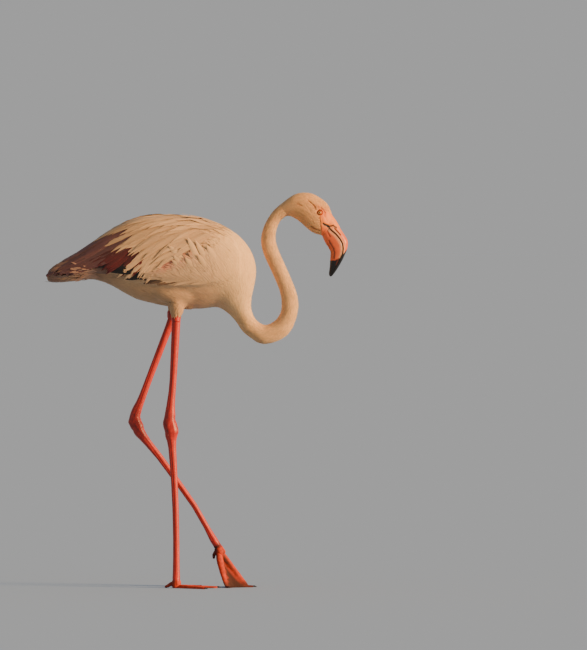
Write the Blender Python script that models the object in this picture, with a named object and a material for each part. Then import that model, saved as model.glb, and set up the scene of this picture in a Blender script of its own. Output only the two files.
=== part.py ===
"""Greater flamingo, life size, in mid-stride with its neck dropped in a low S.

The bird faces +X and its right side is towards -Y. Sizes are in millimetres and
become metres in the meshes. The origin is on the floor, under the middle of the bird.
The body is lofted through rings that run from the tail tip over the breast and along
the neck to the base of the bill. Each leg is lofted down its own path to a webbed foot.
"""
import math
from typing import NamedTuple

import bmesh
import bpy
from mathutils import Matrix, Vector

MM = 0.001
GAP = 0.3             # clearance between neighbouring solids
NO_OFFSET = 0.0

# Body.
BODY_SIDES = 28       # points round a body ring
BACK_BREADTH = 0.10   # how much broader the back is than the belly
TAIL_ROOT = 3.0       # the ring where the tail leaves the trunk
WING_REAR, WING_FRONT = 0.35, 10.1
WING_THICKNESS = 9.0
WING_RIM = 2.0        # thickness of the wing's edge
WING_BURIED = 4.0     # how far the uncut wing reaches into the body

# Neck and head.
NECK_SIDES = 18
NECK_ROUNDNESS = 0.94          # breadth over depth
NECK_JOINS = (0.0, 4.6, 9.0, 13.0)
HEAD_SIDES = 22
EYE_CENTRE = (263.0, 18.0, 807.0)
EYE_RADIUS = 6.4

# Bill.
BILL_ARC = 8          # points over the rounded side of a bill section
BILL_FLAT = 3         # points inside its flat side

# Legs.
LEG_SIDES = 12
LEG_BREADTH = 0.84    # breadth over depth
HIP_HALF_SPACING = 30.0
RIGHT_FOOT_Y, LEFT_FOOT_Y = -7.0, 29.0
THIGH_LENGTH = 66.0
THIGH_TOP_RADIUS, THIGH_KNEE_RADIUS = 25.0, 10.5

# Feet.
TOE_HALF_WIDTH = 4.2
TOE_HEIGHT, TOE_TIP_HEIGHT = 7.0, 4.0
WEB_LIFT, WEB_THICKNESS = 0.6, 1.6
WEB_SCALLOP = 0.20    # how far the web's edge falls back between two toes
KNUCKLE_RADIUS = 9.0
CLAW_LENGTH = 7.5


class Ring(NamedTuple):
    """A body ring: its upper point, its lower point and half its breadth."""

    top: tuple
    bottom: tuple
    half_width: float


class Toe(NamedTuple):
    """A front toe: its name, its turn outwards from straight ahead and its reach."""

    name: str
    turn: float
    reach: float


BODY = (
    Ring((-319, 682), (-322, 661), 14),      # tail tip
    Ring((-296, 698), (-298, 658), 24),
    Ring((-262, 720), (-260, 660), 33),
    Ring((-222, 746), (-224, 662), 42),      # vent
    Ring((-182, 773), (-182, 646), 52),
    Ring((-130, 799), (-132, 618), 62),
    Ring((-70, 806), (-72, 605), 71),        # top of the back
    Ring((-8, 802), (-8, 597), 75),          # widest, between the wings
    Ring((48, 786), (20, 598), 73),
    Ring((90, 762), (38, 601), 68),          # shoulders
    Ring((118, 728), (51, 598), 60),
    Ring((130, 690), (60, 592), 50),         # front of the breast
    Ring((127, 655), (69, 585), 38),
    Ring((120, 625), (77, 577), 29),
    Ring((118, 603), (84, 569), 23.5),       # root of the neck
)

NECK = (
    ((118, 603), (84, 569)),
    ((122, 587), (97, 550)),
    ((131, 574), (116, 536)),
    ((146, 566), (140, 523)),                # lowest point of the bend
    ((162, 572), (178, 532)),
    ((175, 585), (204, 555)),
    ((181, 604), (219, 604)),                # foremost point of the neck
    ((177, 638), (211, 645)),
    ((158, 683), (192, 690)),
    ((142, 718), (176, 726)),
    ((136, 749), (169, 751)),                # hindmost point under the head
    ((143.5, 780), (173, 776)),
    ((160, 808), (182, 792)),
    ((181, 827), (193, 800)),                # nape
)

HEAD = (
    Ring((181.3, 827.1), (193.3, 800.1), 14.5),
    Ring((201, 841.5), (202, 799), 18.5),
    Ring((214, 848), (208, 796), 20.5),
    Ring((232, 850.5), (221, 787.5), 23),    # crown
    Ring((250, 847), (236, 773.5), 24),      # cheeks
    Ring((267, 837), (250, 763.5), 23),
    Ring((280, 826), (261, 760), 20.5),
    Ring((287, 812), (267, 758.5), 17.5),
    Ring((290, 801), (269, 757.5), 15.5),    # base of the bill
)

# Mouth line from the gape to the tip: point, tilt of the bill's upper side in degrees,
# depth of the upper and of the lower bill there, and half the breadth.
MOUTH = (
    ((279.9, 779.1), 64.2, 24.0, 24.0, 15.0),
    ((287, 769.5), 49, 21.0, 24.0, 14.2),
    ((298, 760), 42, 15.5, 29.0, 13.6),
    ((306, 750), 32, 14.0, 29.5, 13.2),
    ((311, 741), 17, 13.3, 30.0, 13.0),      # the bend
    ((313, 730), 0, 9.5, 30.0, 12.8),
    ((312, 719), -16, 6.0, 28.0, 12.3),
    ((307, 708), -31, 6.0, 23.5, 11.2),
    ((300, 696), -31, 6.2, 16.5, 9.2),
    ((293, 684), -36, 5.6, 10.0, 6.6),
    ((285.5, 670), -30, 3.0, 3.2, 3.0),
)

# Leg paths from hip to foot: forward place, height and depth.
RIGHT_LEG = (
    (-43, 610, 19), (-45, 570, 18), (-48, 512, 16.5), (-52, 440, 14.5), (-56, 400, 17),
    (-58, 372, 23), (-57.5, 350, 29), (-56, 332, 28), (-54, 310, 18), (-51, 264, 15),
    (-47, 189, 13.6), (-45, 103, 13.2), (-45, 49, 14), (-45, 20, 16),
)
LEFT_LEG = (
    (-48, 606, 18), (-56, 575, 17), (-72, 533, 15.5), (-105, 447, 14.5), (-121, 404, 16),
    (-131, 380, 21), (-134, 359, 26), (-127, 339, 25), (-111, 317, 17), (-77, 275, 13.6),
    (-45, 230, 13), (-4, 172, 12), (34, 104, 12), (44, 88, 14),
)
LEG_JOINS = {"shank": (0.9, 4.3), "ankle": (4.3, 8.2), "tarsus": (8.2, 13.0)}

RIGHT_TOES = (Toe("outer", -41, 82), Toe("middle", 0, 88), Toe("inner", 45, 72))
LEFT_TOES = (Toe("inner", -58, 42), Toe("middle", 0, 76), Toe("outer", 60, 48))


def catmull(values, place):
    """Value at a place along a row of stations, each a flat tuple of numbers."""
    last = len(values) - 1
    place = min(max(place, 0.0), float(last))
    index = min(int(place), last - 1)
    part = place - index
    before, here, there, after = (
        Vector(values[min(max(k, 0), last)]) for k in range(index - 1, index + 3))
    if index == 0:
        before = here * 2 - there
    if index == last - 1:
        after = there * 2 - here
    return 0.5 * (
        here * 2 + (there - before) * part
        + (before * 2 - here * 5 + there * 4 - after) * part ** 2
        + (here * 3 - before - there * 3 + after) * part ** 3)


def ring_section(rings, place):
    """Centre, half of the upward chord, and half breadth of a row of rings at a place."""
    flat = [(*ring.top, *ring.bottom, ring.half_width) for ring in rings]
    top_x, top_z, low_x, low_z, half = flat_value(flat, place)
    centre = Vector(((top_x + low_x) / 2, 0, (top_z + low_z) / 2))
    upward = Vector(((top_x - low_x) / 2, 0, (top_z - low_z) / 2))
    return centre, upward, half


def flat_value(values, place):
    """Catmull value of stations with more than four numbers, taken in two lots."""
    first = catmull([value[:4] for value in values], place)
    rest = catmull([(*value[4:], 0.0) for value in values], place)
    return (*first, *tuple(rest)[:len(values[0]) - 4])


def ring_point(section, angle, breadth=NO_OFFSET, grow=NO_OFFSET):
    """Point of a ring at an angle that is 0 at its top and 180 degrees at its bottom."""
    centre, upward, half = section
    chord = upward * (1 + grow / upward.length)
    side = (half + grow) * math.sin(angle) * (1 + breadth * math.cos(angle))
    return centre + chord * math.cos(angle) + Vector((0, side, 0))


def closed_ring(section, sides, breadth=NO_OFFSET, grow=NO_OFFSET):
    """All points of a ring."""
    return [ring_point(section, 2 * math.pi * k / sides, breadth, grow) for k in range(sides)]


def steps(start, stop, count):
    """Evenly spaced places from start to stop, both included."""
    return [start + (stop - start) * k / count for k in range(count + 1)]


def make_material(name, colour, roughness):
    """Principled material with one colour."""
    material = bpy.data.materials.new(name)
    material.use_nodes = True
    shader = material.node_tree.nodes["Principled BSDF"]
    shader.inputs["Base Color"].default_value = (*colour, 1.0)
    shader.inputs["Roughness"].default_value = roughness
    shader.inputs["Metallic"].default_value = 0.0
    return material


def add_object(name, bm, material, root):
    """Object whose origin is at the middle of its mesh."""
    bm.normal_update()
    bmesh.ops.recalc_face_normals(bm, faces=bm.faces)
    middle = sum((vert.co for vert in bm.verts), Vector()) / len(bm.verts)
    bmesh.ops.translate(bm, verts=bm.verts, vec=-middle)
    bmesh.ops.scale(bm, verts=bm.verts, vec=(MM, MM, MM))
    mesh = bpy.data.meshes.new(name)
    bm.to_mesh(mesh)
    bm.free()
    mesh.polygons.foreach_set("use_smooth", [True] * len(mesh.polygons))
    mesh.materials.append(material)
    solid = bpy.data.objects.new(name, mesh)
    bpy.context.collection.objects.link(solid)
    solid.location = middle * MM
    solid.parent = root
    return solid


def add_cutter(name, bm, material, root):
    """Helper solid that only shapes others."""
    cutter = add_object(name, bm, material, root)
    cutter.hide_render = True
    cutter.display_type = "WIRE"
    return cutter


def combine(solid, other, operation):
    """Boolean modifier that cuts a solid with another or joins the two."""
    modifier = solid.modifiers.new(operation.lower(), "BOOLEAN")
    modifier.operation = operation
    modifier.solver = "EXACT"
    modifier.object = other


def loft(rings, strip_ends=False):
    """Closed mesh through rings; ends are flat faces, or strips across a thin section."""
    bm = bmesh.new()
    rows = [[bm.verts.new(point) for point in ring] for ring in rings]
    count = len(rows[0])
    for row, following in zip(rows, rows[1:]):
        for k in range(count):
            nxt = (k + 1) % count
            bm.faces.new((row[k], row[nxt], following[nxt], following[k]))
    for row in (rows[0], rows[-1]):
        if strip_ends:
            for k in range(count // 2 - 1):
                bm.faces.new((row[k], row[k + 1], row[-k - 2], row[-k - 1]))
        else:
            bm.faces.new(row)
    return bm


def body_section(place):
    """Ring of the trunk and tail."""
    return ring_section(BODY, place)


def body_places(start, stop):
    """Places along the body at which its rings stand."""
    spaced = [k / 2 for k in range(2 * len(BODY) - 1)]
    return [start] + [place for place in spaced if start + 0.1 < place < stop - 0.1] + [stop]


def body_loft(start, stop, grow=NO_OFFSET):
    """Mesh of a length of the body."""
    places = body_places(start, stop)
    return loft([closed_ring(body_section(place), BODY_SIDES, BACK_BREADTH, grow)
                 for place in places])


def body_normal(place, angle):
    """Outward direction of the body's surface."""
    step = 0.02
    here = ring_point(body_section(place), angle, BACK_BREADTH)
    along = ring_point(body_section(place + step), angle, BACK_BREADTH) - here
    around = ring_point(body_section(place), angle + step, BACK_BREADTH) - here
    return around.cross(along).normalized()


def make_trunk_and_tail(materials, root):
    """The trunk, the tail behind it, and the grown body that cuts what lies on them."""
    half_gap = GAP / 2 / 40
    add_object("tail", body_loft(0, TAIL_ROOT - half_gap), materials["tail"], root)
    add_object("trunk", body_loft(TAIL_ROOT + half_gap, len(BODY) - 1),
               materials["plumage"], root)
    return add_cutter("body_clearance", body_loft(0, len(BODY) - 1, GAP),
                      materials["plumage"], root)


def wing_edges(place, along):
    """Angles of the wing's upper and lower edge; its two ends are rounded."""
    stations = (
        (40, 92), (18, 108), (11, 114), (10, 118), (11, 121), (12, 124), (13, 124),
        (17, 120), (24, 114), (36, 108), (56, 98), (66, 90),
    )
    upper, lower = catmull([(a, b, 0.0) for a, b in stations], place)[:2]
    rounding = 0.15 + 0.85 * (1 - abs(2 * along - 1) ** 9)
    middle, half = (upper + lower) / 2, (lower - upper) / 2 * rounding
    return math.radians(middle - half), math.radians(middle + half)


def make_wing(name, side, clearance, material, root):
    """Folded wing: a thin shell over the body's side, from shoulder to wing tip."""
    rings = []
    for place in steps(WING_REAR, WING_FRONT, 16):
        along = (place - WING_REAR) / (WING_FRONT - WING_REAR)
        upper, lower = wing_edges(place, along)
        swell = (WING_THICKNESS - WING_RIM) * math.sin(math.pi * along ** 0.8) ** 0.5
        outer, inner = [], []
        for across in steps(0, 1, 7):
            angle = upper + (lower - upper) * across
            surface = ring_point(body_section(place), angle, BACK_BREADTH)
            outward = body_normal(place, angle)
            thick = WING_RIM + swell * math.sin(math.pi * across) ** 0.7
            for row, offset in ((outer, thick), (inner, -WING_BURIED)):
                point = surface + outward * offset
                row.append(Vector((point.x, side * point.y, point.z)))
        rings.append(outer + inner[::-1])
    wing = add_object(name, loft(rings, strip_ends=True), material, root)
    combine(wing, clearance, "DIFFERENCE")


def make_neck(materials, root):
    """The neck in three lengths, from the breast up to the nape."""
    rings = [Ring(top, bottom, NECK_ROUNDNESS / 2 * math.dist(top, bottom))
             for top, bottom in NECK]
    half_gap = GAP / 2 / 22
    for name, start, stop in zip(("lower", "middle", "upper"), NECK_JOINS, NECK_JOINS[1:]):
        places = steps(start + 2 * half_gap, stop - half_gap, 9)
        sections = [ring_section(rings, place) for place in places]
        bm = loft([closed_ring(section, NECK_SIDES) for section in sections])
        add_object("neck_" + name, bm, materials["neck"], root)


def sphere(centre, radius, segments):
    """Sphere mesh with its poles left and right."""
    bm = bmesh.new()
    bmesh.ops.create_uvsphere(bm, u_segments=segments, v_segments=segments // 2, radius=radius,
                              matrix=Matrix.Translation(centre) @ Matrix.Rotation(math.pi / 2, 4, "X"))
    return bm


def make_head(materials, root):
    """The head with a socket and an eye on each side."""
    places = steps(0, len(HEAD) - 1, 15)
    bm = loft([closed_ring(ring_section(HEAD, place), HEAD_SIDES) for place in places])
    head = add_object("head", bm, materials["neck"], root)
    for name, side in (("left", 1), ("right", -1)):
        centre = (EYE_CENTRE[0], side * EYE_CENTRE[1], EYE_CENTRE[2])
        socket = add_cutter("socket_" + name, sphere(centre, EYE_RADIUS + GAP, 14),
                            materials["eye"], root)
        combine(head, socket, "DIFFERENCE")
        add_object("eye_" + name, sphere(centre, EYE_RADIUS, 12), materials["eye"], root)


def bill_rings(upper):
    """Half-round rings of the upper or the lower bill, flat along the mouth line."""
    sign = 1 if upper else -1
    rings = []
    for place in steps(0, len(MOUTH) - 1, 12):
        flat = [(*point, tilt, over, under, half) for point, tilt, over, under, half in MOUTH]
        x, z, tilt, over, under, half = flat_value(flat, place)
        depth = over if upper else under
        breadth = half - (0.8 if upper else 0.0)
        out = Vector((math.cos(math.radians(tilt)), 0, math.sin(math.radians(tilt)))) * sign
        rim = Vector((x, 0, z)) + out * GAP / 2
        arc = [rim + out * depth * math.sin(turn) ** 0.85 + Vector((0, breadth * math.cos(turn), 0))
               for turn in steps(0, math.pi, BILL_ARC - 1)]
        inside = [rim + Vector((0, breadth * (2 * k / (BILL_FLAT + 1) - 1), 0))
                  for k in range(1, BILL_FLAT + 1)]
        rings.append(arc + inside)
    return rings


def make_bill(materials, root):
    """The upper and lower bill, which meet along the mouth line."""
    for name, upper in (("bill_upper", True), ("bill_lower", False)):
        add_object(name, loft(bill_rings(upper)), materials["bill"], root)


def leg_point(path, hip_y, foot_y, place):
    """Centre of a leg at a place along its path, and its depth there."""
    x, z, depth = catmull(path, place)
    top, bottom = path[0][1], path[-1][1]
    y = foot_y + (hip_y - foot_y) * (z - bottom) / (top - bottom)
    return Vector((x, y, z)), depth


def leg_ring(path, hip_y, foot_y, place, depth=None, breadth=LEG_BREADTH):
    """Ring across a leg at a place along its path."""
    centre, own_depth = leg_point(path, hip_y, foot_y, place)
    before, _ = leg_point(path, hip_y, foot_y, place - 0.05)
    after, _ = leg_point(path, hip_y, foot_y, place + 0.05)
    front = (after - before).cross(Vector((0, 1, 0))).normalized()
    side = front.cross(after - before).normalized()
    radius = (depth or own_depth) / 2
    return [centre + front * radius * math.cos(turn) + side * radius * breadth * math.sin(turn)
            for turn in steps(0, 2 * math.pi, LEG_SIDES)[:-1]]


def make_leg(side_name, path, hip_y, foot_y, clearance, materials, root):
    """A feathered thigh, bare shank, ankle and tarsus."""
    half_gap = GAP / 2 / 40
    for bone, (start, stop) in LEG_JOINS.items():
        count = 9 if bone == "ankle" else 7
        rings = [leg_ring(path, hip_y, foot_y, place)
                 for place in steps(start + half_gap, stop - half_gap, count)]
        add_object(f"{bone}_{side_name}", loft(rings), materials["leg"], root)

    knee_place = LEG_JOINS["shank"][0] - half_gap
    knee, _ = leg_point(path, hip_y, foot_y, knee_place)
    below, _ = leg_point(path, hip_y, foot_y, knee_place + 0.05)
    rise = (knee - below).normalized() * THIGH_LENGTH
    rings = []
    for along in steps(0, 1, 6):
        radius = THIGH_KNEE_RADIUS + (THIGH_TOP_RADIUS - THIGH_KNEE_RADIUS) * along ** 0.8
        ring = leg_ring(path, hip_y, foot_y, knee_place, 2 * radius, 1.0)
        rings.append([point + rise * along for point in ring])
    thigh = add_object("thigh_" + side_name, loft(rings), materials["plumage"], root)
    combine(thigh, clearance, "DIFFERENCE")


def sole_height(along, heel_height, flat_from):
    """Height of the sole at a share of the toe's reach; it is flat on the floor from there on."""
    if along >= flat_from:
        return 0.0
    return heel_height * (1 - along / flat_from) ** 1.1


def toe_heading(toe):
    """Direction of a toe along the floor and the direction across it."""
    turn = math.radians(toe.turn)
    return Vector((math.cos(turn), math.sin(turn), 0)), Vector((-math.sin(turn), math.cos(turn), 0))


def toe_columns(toes, along):
    """Points across the foot: five on each toe, one on each web. Gives place and rise."""
    columns = []
    turns = [math.radians(b.turn - a.turn) / 2 for a, b in zip(toes, toes[1:])]
    width = TOE_HALF_WIDTH * (1 - 0.35 * along)
    height = TOE_HEIGHT + (TOE_TIP_HEIGHT - TOE_HEIGHT) * along
    for index, toe in enumerate(toes):
        heading, across = toe_heading(toe)
        near_turn = min(turns[max(index - 1, 0):index + 1])
        half = min(width, 0.9 * toe.reach * along * math.tan(near_turn))
        for share, rise in ((-1, 0.3), (-0.6, 0.82), (0, 1), (0.6, 0.82), (1, 0.3)):
            columns.append((heading * toe.reach * along + across * half * share,
                            height * rise, 0.0))
        if index + 1 < len(toes):
            other = toes[index + 1]
            other_heading, other_across = toe_heading(other)
            pulled = along * (1 - WEB_SCALLOP * along)
            middle = (heading * toe.reach + other_heading * other.reach) / 2 * pulled
            columns.append((middle, WEB_LIFT + WEB_THICKNESS, WEB_LIFT))
    return columns


def foot_fan(joint, toes, heel_height, flat_from, steepness):
    """Mesh of three toes and the webs between them."""
    bm = bmesh.new()
    upper, lower = [], []
    for along in (0.10, 0.22, 0.35, 0.5, 0.65, 0.76, flat_from, 0.94, 1.0):
        base = sole_height(along, heel_height, flat_from)
        slope = 1 + steepness * (1 if along < flat_from else 0)
        top_row, sole_row = [], []
        for place, top, bottom in toe_columns(toes, along):
            foot_place = Vector((joint.x, joint.y, base)) + place
            top_row.append(bm.verts.new(foot_place + Vector((0, 0, top * slope))))
            sole_row.append(bm.verts.new(foot_place + Vector((0, 0, bottom))))
        upper.append(top_row)
        lower.append(sole_row)
    last = len(upper[0]) - 1
    for near, far in zip(range(len(upper)), range(1, len(upper))):
        for k in range(last):
            for rows in (upper, lower):
                bm.faces.new((rows[near][k], rows[near][k + 1], rows[far][k + 1], rows[far][k]))
        for k in (0, last):
            bm.faces.new((upper[near][k], upper[far][k], lower[far][k], lower[near][k]))
    for row, sole in ((upper[0], lower[0]), (upper[-1], lower[-1])):
        for k in range(last):
            bm.faces.new((row[k], row[k + 1], sole[k + 1], sole[k]))
    return bm


def tube(stations, sides=10, flat_floor=True):
    """Round solid through centres with radii; it is flattened where it meets the floor."""
    rings = []
    for index, (centre, radius) in enumerate(stations):
        before = stations[max(index - 1, 0)][0]
        after = stations[min(index + 1, len(stations) - 1)][0]
        ahead = (after - before).normalized()
        side = ahead.cross(Vector((0, 1, 0.01))).normalized()
        other = ahead.cross(side)
        ring = [centre + (side * math.cos(turn) + other * math.sin(turn)) * radius
                for turn in steps(0, 2 * math.pi, sides)[:-1]]
        if flat_floor:
            ring = [Vector((point.x, point.y, max(point.z, 0.0))) for point in ring]
        rings.append(ring)
    return loft(rings)


def make_claws(side_name, joint, toes, material, root):
    """A short blunt claw at the end of each front toe."""
    for toe in toes:
        heading, _ = toe_heading(toe)
        tip = Vector((joint.x, joint.y, 0)) + heading * (toe.reach + GAP)
        stations = [(tip + heading * CLAW_LENGTH * along + Vector((0, 0, rise)), radius)
                    for along, rise, radius in ((0, 2.5, 1.9), (0.35, 2.5, 1.7),
                                                (0.7, 1.9, 1.2), (1, 1.1, 0.6))]
        add_object(f"claw_{toe.name}_{side_name}", tube(stations, 6), material, root)


def make_right_foot(materials, root):
    """The standing foot: flat on the floor, its short hind toe touching behind."""
    joint = Vector((RIGHT_LEG[-1][0], RIGHT_FOOT_Y, 0))
    foot = add_object("foot_right", foot_fan(joint, RIGHT_TOES, 0.0, 0.86, 0.0),
                      materials["foot"], root)
    top = RIGHT_LEG[-1][1] - GAP
    knuckle = tube([(joint + Vector((0, 0, z)), radius) for z, radius in (
        (0.0, 7.0), (3.0, KNUCKLE_RADIUS), (9.0, KNUCKLE_RADIUS), (15.0, 8.3), (top, 7.5))])
    hind = tube([(joint + Vector(place), radius) for place, radius in (
        ((-4, 0, 11), 4.4), ((-11, 2, 9), 3.9), ((-18, 4, 4.5), 3.3), ((-24, 7, 2.0), 2.6))])
    for name, bm in (("knuckle_right", knuckle), ("hind_toe_right", hind)):
        combine(foot, add_cutter(name, bm, materials["foot"], root), "UNION")
    make_claws("right", joint, RIGHT_TOES, materials["claw"], root)


def make_left_foot(materials, root):
    """The stepping foot: heel high, only the ends of the toes flat on the floor."""
    end_x, end_z, _ = LEFT_LEG[-1]
    ahead = Vector((LEFT_LEG[-1][0] - LEFT_LEG[-2][0], 0, end_z - LEFT_LEG[-2][1])).normalized()
    joint = Vector((end_x, LEFT_FOOT_Y, 0))
    foot = add_object("foot_left", foot_fan(joint, LEFT_TOES, 78.0, 0.86, 0.35),
                      materials["foot"], root)
    start = Vector((end_x, LEFT_FOOT_Y, end_z)) + ahead * GAP
    knuckle = tube([(start + ahead * along, radius) for along, radius in (
        (0.0, 6.8), (5.0, 8.0), (11.0, 7.6), (16.0, 5.0))])
    hind = tube([(start + Vector(place), radius) for place, radius in (
        ((1, 0, -9), 4.0), ((-5, 0, -11), 3.7), ((-9, 0, -18), 3.1), ((-9, 0, -26), 2.2))])
    for name, bm in (("knuckle_left", knuckle), ("hind_toe_left", hind)):
        combine(foot, add_cutter(name, bm, materials["foot"], root), "UNION")
    make_claws("left", joint, LEFT_TOES, materials["claw"], root)


def centre_on_origin(root):
    """Move the whole bird so that the middle of its box is over the origin."""
    bpy.context.view_layer.update()
    shown = [solid for solid in root.children if not solid.hide_render]
    corners = [solid.matrix_world @ vert.co for solid in shown for vert in solid.data.vertices]
    for axis in (0, 1):
        values = [corner[axis] for corner in corners]
        root.location[axis] -= (min(values) + max(values)) / 2


def main():
    """Build the whole bird."""
    for old in list(bpy.data.objects):
        bpy.data.objects.remove(old)
    root = bpy.data.objects.new("flamingo", None)
    bpy.context.collection.objects.link(root)
    materials = {
        "plumage": make_material("plumage", (0.86, 0.70, 0.60), 0.85),
        "wing": make_material("wing_plumage", (0.84, 0.60, 0.52), 0.8),
        "tail": make_material("tail_plumage", (0.55, 0.42, 0.38), 0.8),
        "neck": make_material("neck_plumage", (0.88, 0.72, 0.61), 0.85),
        "bill": make_material("bill_horn", (0.85, 0.38, 0.30), 0.4),
        "eye": make_material("eye", (0.86, 0.72, 0.30), 0.1),
        "leg": make_material("leg_skin", (0.84, 0.22, 0.11), 0.5),
        "foot": make_material("foot_skin", (0.70, 0.22, 0.13), 0.55),
        "claw": make_material("claw_horn", (0.05, 0.04, 0.04), 0.4),
    }
    clearance = make_trunk_and_tail(materials, root)
    make_wing("wing_left", 1, clearance, materials["wing"], root)
    make_wing("wing_right", -1, clearance, materials["wing"], root)
    make_neck(materials, root)
    make_head(materials, root)
    make_bill(materials, root)
    make_leg("right", RIGHT_LEG, -HIP_HALF_SPACING, RIGHT_FOOT_Y, clearance, materials, root)
    make_leg("left", LEFT_LEG, HIP_HALF_SPACING, LEFT_FOOT_Y, clearance, materials, root)
    make_right_foot(materials, root)
    make_left_foot(materials, root)
    centre_on_origin(root)


main()
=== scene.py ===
"""The looks of a life-size greater flamingo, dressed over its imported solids.

One skin stands for all the flesh and lies inside it by the depth of the plumage. Solid
feather vanes lie over the skin. The bill and the eyes are pieces of their own, and the
claws keep the solids' shape. The bird faces +X and its right side is towards -Y.
Everything is in metres. In side view a place is given as forward and up.
"""
import logging
import math
from collections.abc import Callable, Sequence
from dataclasses import dataclass
from enum import Enum
from typing import ClassVar

import bmesh
import bpy
import numpy as np
from bmesh.types import BMesh
from bpy.types import Material, Mesh, Object
from bpy.types import NodeSocket as Socket
from mathutils import Matrix, Vector, noise
from mathutils.bvhtree import BVHTree


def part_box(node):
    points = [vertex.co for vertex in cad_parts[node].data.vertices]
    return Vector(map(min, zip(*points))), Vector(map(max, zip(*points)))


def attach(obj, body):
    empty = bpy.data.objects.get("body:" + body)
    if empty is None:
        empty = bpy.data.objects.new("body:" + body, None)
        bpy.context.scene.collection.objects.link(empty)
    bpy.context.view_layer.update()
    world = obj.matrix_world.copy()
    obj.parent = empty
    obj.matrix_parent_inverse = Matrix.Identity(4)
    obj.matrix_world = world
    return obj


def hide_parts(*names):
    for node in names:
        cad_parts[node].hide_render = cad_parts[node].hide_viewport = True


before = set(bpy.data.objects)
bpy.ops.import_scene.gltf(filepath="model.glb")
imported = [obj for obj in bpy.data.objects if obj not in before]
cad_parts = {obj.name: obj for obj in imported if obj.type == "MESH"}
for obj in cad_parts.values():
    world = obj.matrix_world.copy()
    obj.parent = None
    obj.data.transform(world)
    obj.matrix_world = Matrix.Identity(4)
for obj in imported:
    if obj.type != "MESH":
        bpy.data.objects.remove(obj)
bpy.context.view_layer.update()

LOG = logging.getLogger("flamingo")

SIDES = {"left": 1.0, "right": -1.0}
THIGH_NODES = ("thigh_left", "thigh_right")
PLUMAGE_NODES = ("trunk", "tail", "wing_left", "wing_right", "neck_lower", "neck_middle",
                 "neck_upper", "head") + THIGH_NODES
LEG_NODES = tuple(f"{bone}_{side}" for bone in ("shank", "ankle", "tarsus", "foot")
                  for side in SIDES)
CLAW_NODES = tuple(f"claw_{toe}_{side}" for toe in ("inner", "middle", "outer")
                   for side in SIDES)

Array = np.ndarray
Place = tuple[float, float]
Line = tuple[Place, ...]


def node_middle(name: str) -> Vector:
    """Return the middle of a CAD node's box."""
    low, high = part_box(name)
    return (Vector(low) + Vector(high)) / 2


def unit(vectors: Array) -> Array:
    """Return vectors scaled to length one along their last axis."""
    length = np.linalg.norm(vectors, axis=-1, keepdims=True)
    return vectors / np.maximum(length, 1e-12)


def smoothstep(low: float, high: float, values: Array) -> Array:
    """Return 0 below low, 1 above high and a smooth rise between."""
    share = np.clip((values - low) / (high - low), 0.0, 1.0)
    return share * share * (3 - 2 * share)


def side_way(degrees: float) -> Array:
    """Return the direction in side view at an angle up from straight ahead."""
    return np.array([math.cos(math.radians(degrees)), 0.0, math.sin(math.radians(degrees))])


def catmull(stations: Array, count: int) -> Array:
    """Pass a smooth curve through stations.

    Args:
        stations: One row of numbers for each station.
        count: Steps between two stations.

    Returns:
        The curve's rows, with the first and last station included.
    """
    ends = np.vstack([2 * stations[0] - stations[1], stations, 2 * stations[-1] - stations[-2]])
    rows = []
    for before, here, there, after in zip(ends, ends[1:], ends[2:], ends[3:]):
        for part in np.arange(count) / count:
            rows.append(0.5 * (2 * here + (there - before) * part
                               + (2 * before - 5 * here + 4 * there - after) * part ** 2
                               + (3 * here - before - 3 * there + after) * part ** 3))
    rows.append(stations[-1])
    return np.array(rows)


# --- finishes


class Graph:
    """The nodes of one material."""

    def __init__(self, material: Material) -> None:
        """Turn the material's nodes on."""
        material.use_nodes = True
        self.tree = material.node_tree
        self.shader = self.tree.nodes["Principled BSDF"]

    def feed(self, node: bpy.types.ShaderNode, values: dict[str | int, object]) -> None:
        """Fill a node's inputs.

        Args:
            node: The node.
            values: A socket to link or a fixed value for each input's name or number.
        """
        for key, value in values.items():
            if isinstance(value, Socket):
                self.tree.links.new(value, node.inputs[key])
            else:
                node.inputs[key].default_value = value

    def add(self, kind: str, values: dict[str | int, object]) -> bpy.types.ShaderNode:
        """Add a node.

        Args:
            kind: Its type, without the start that all shader nodes share.
            values: What its inputs get.

        Returns:
            The node.
        """
        node = self.tree.nodes.new("ShaderNode" + kind)
        self.feed(node, values)
        return node

    def math(self, operation: str, *values: object) -> Socket:
        """Add a math node.

        Args:
            operation: What it does.
            *values: Its inputs in order, each a socket or a number.

        Returns:
            Its result.
        """
        node = self.add("Math", dict(enumerate(values)))
        node.operation = operation
        return node.outputs["Value"]


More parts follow.
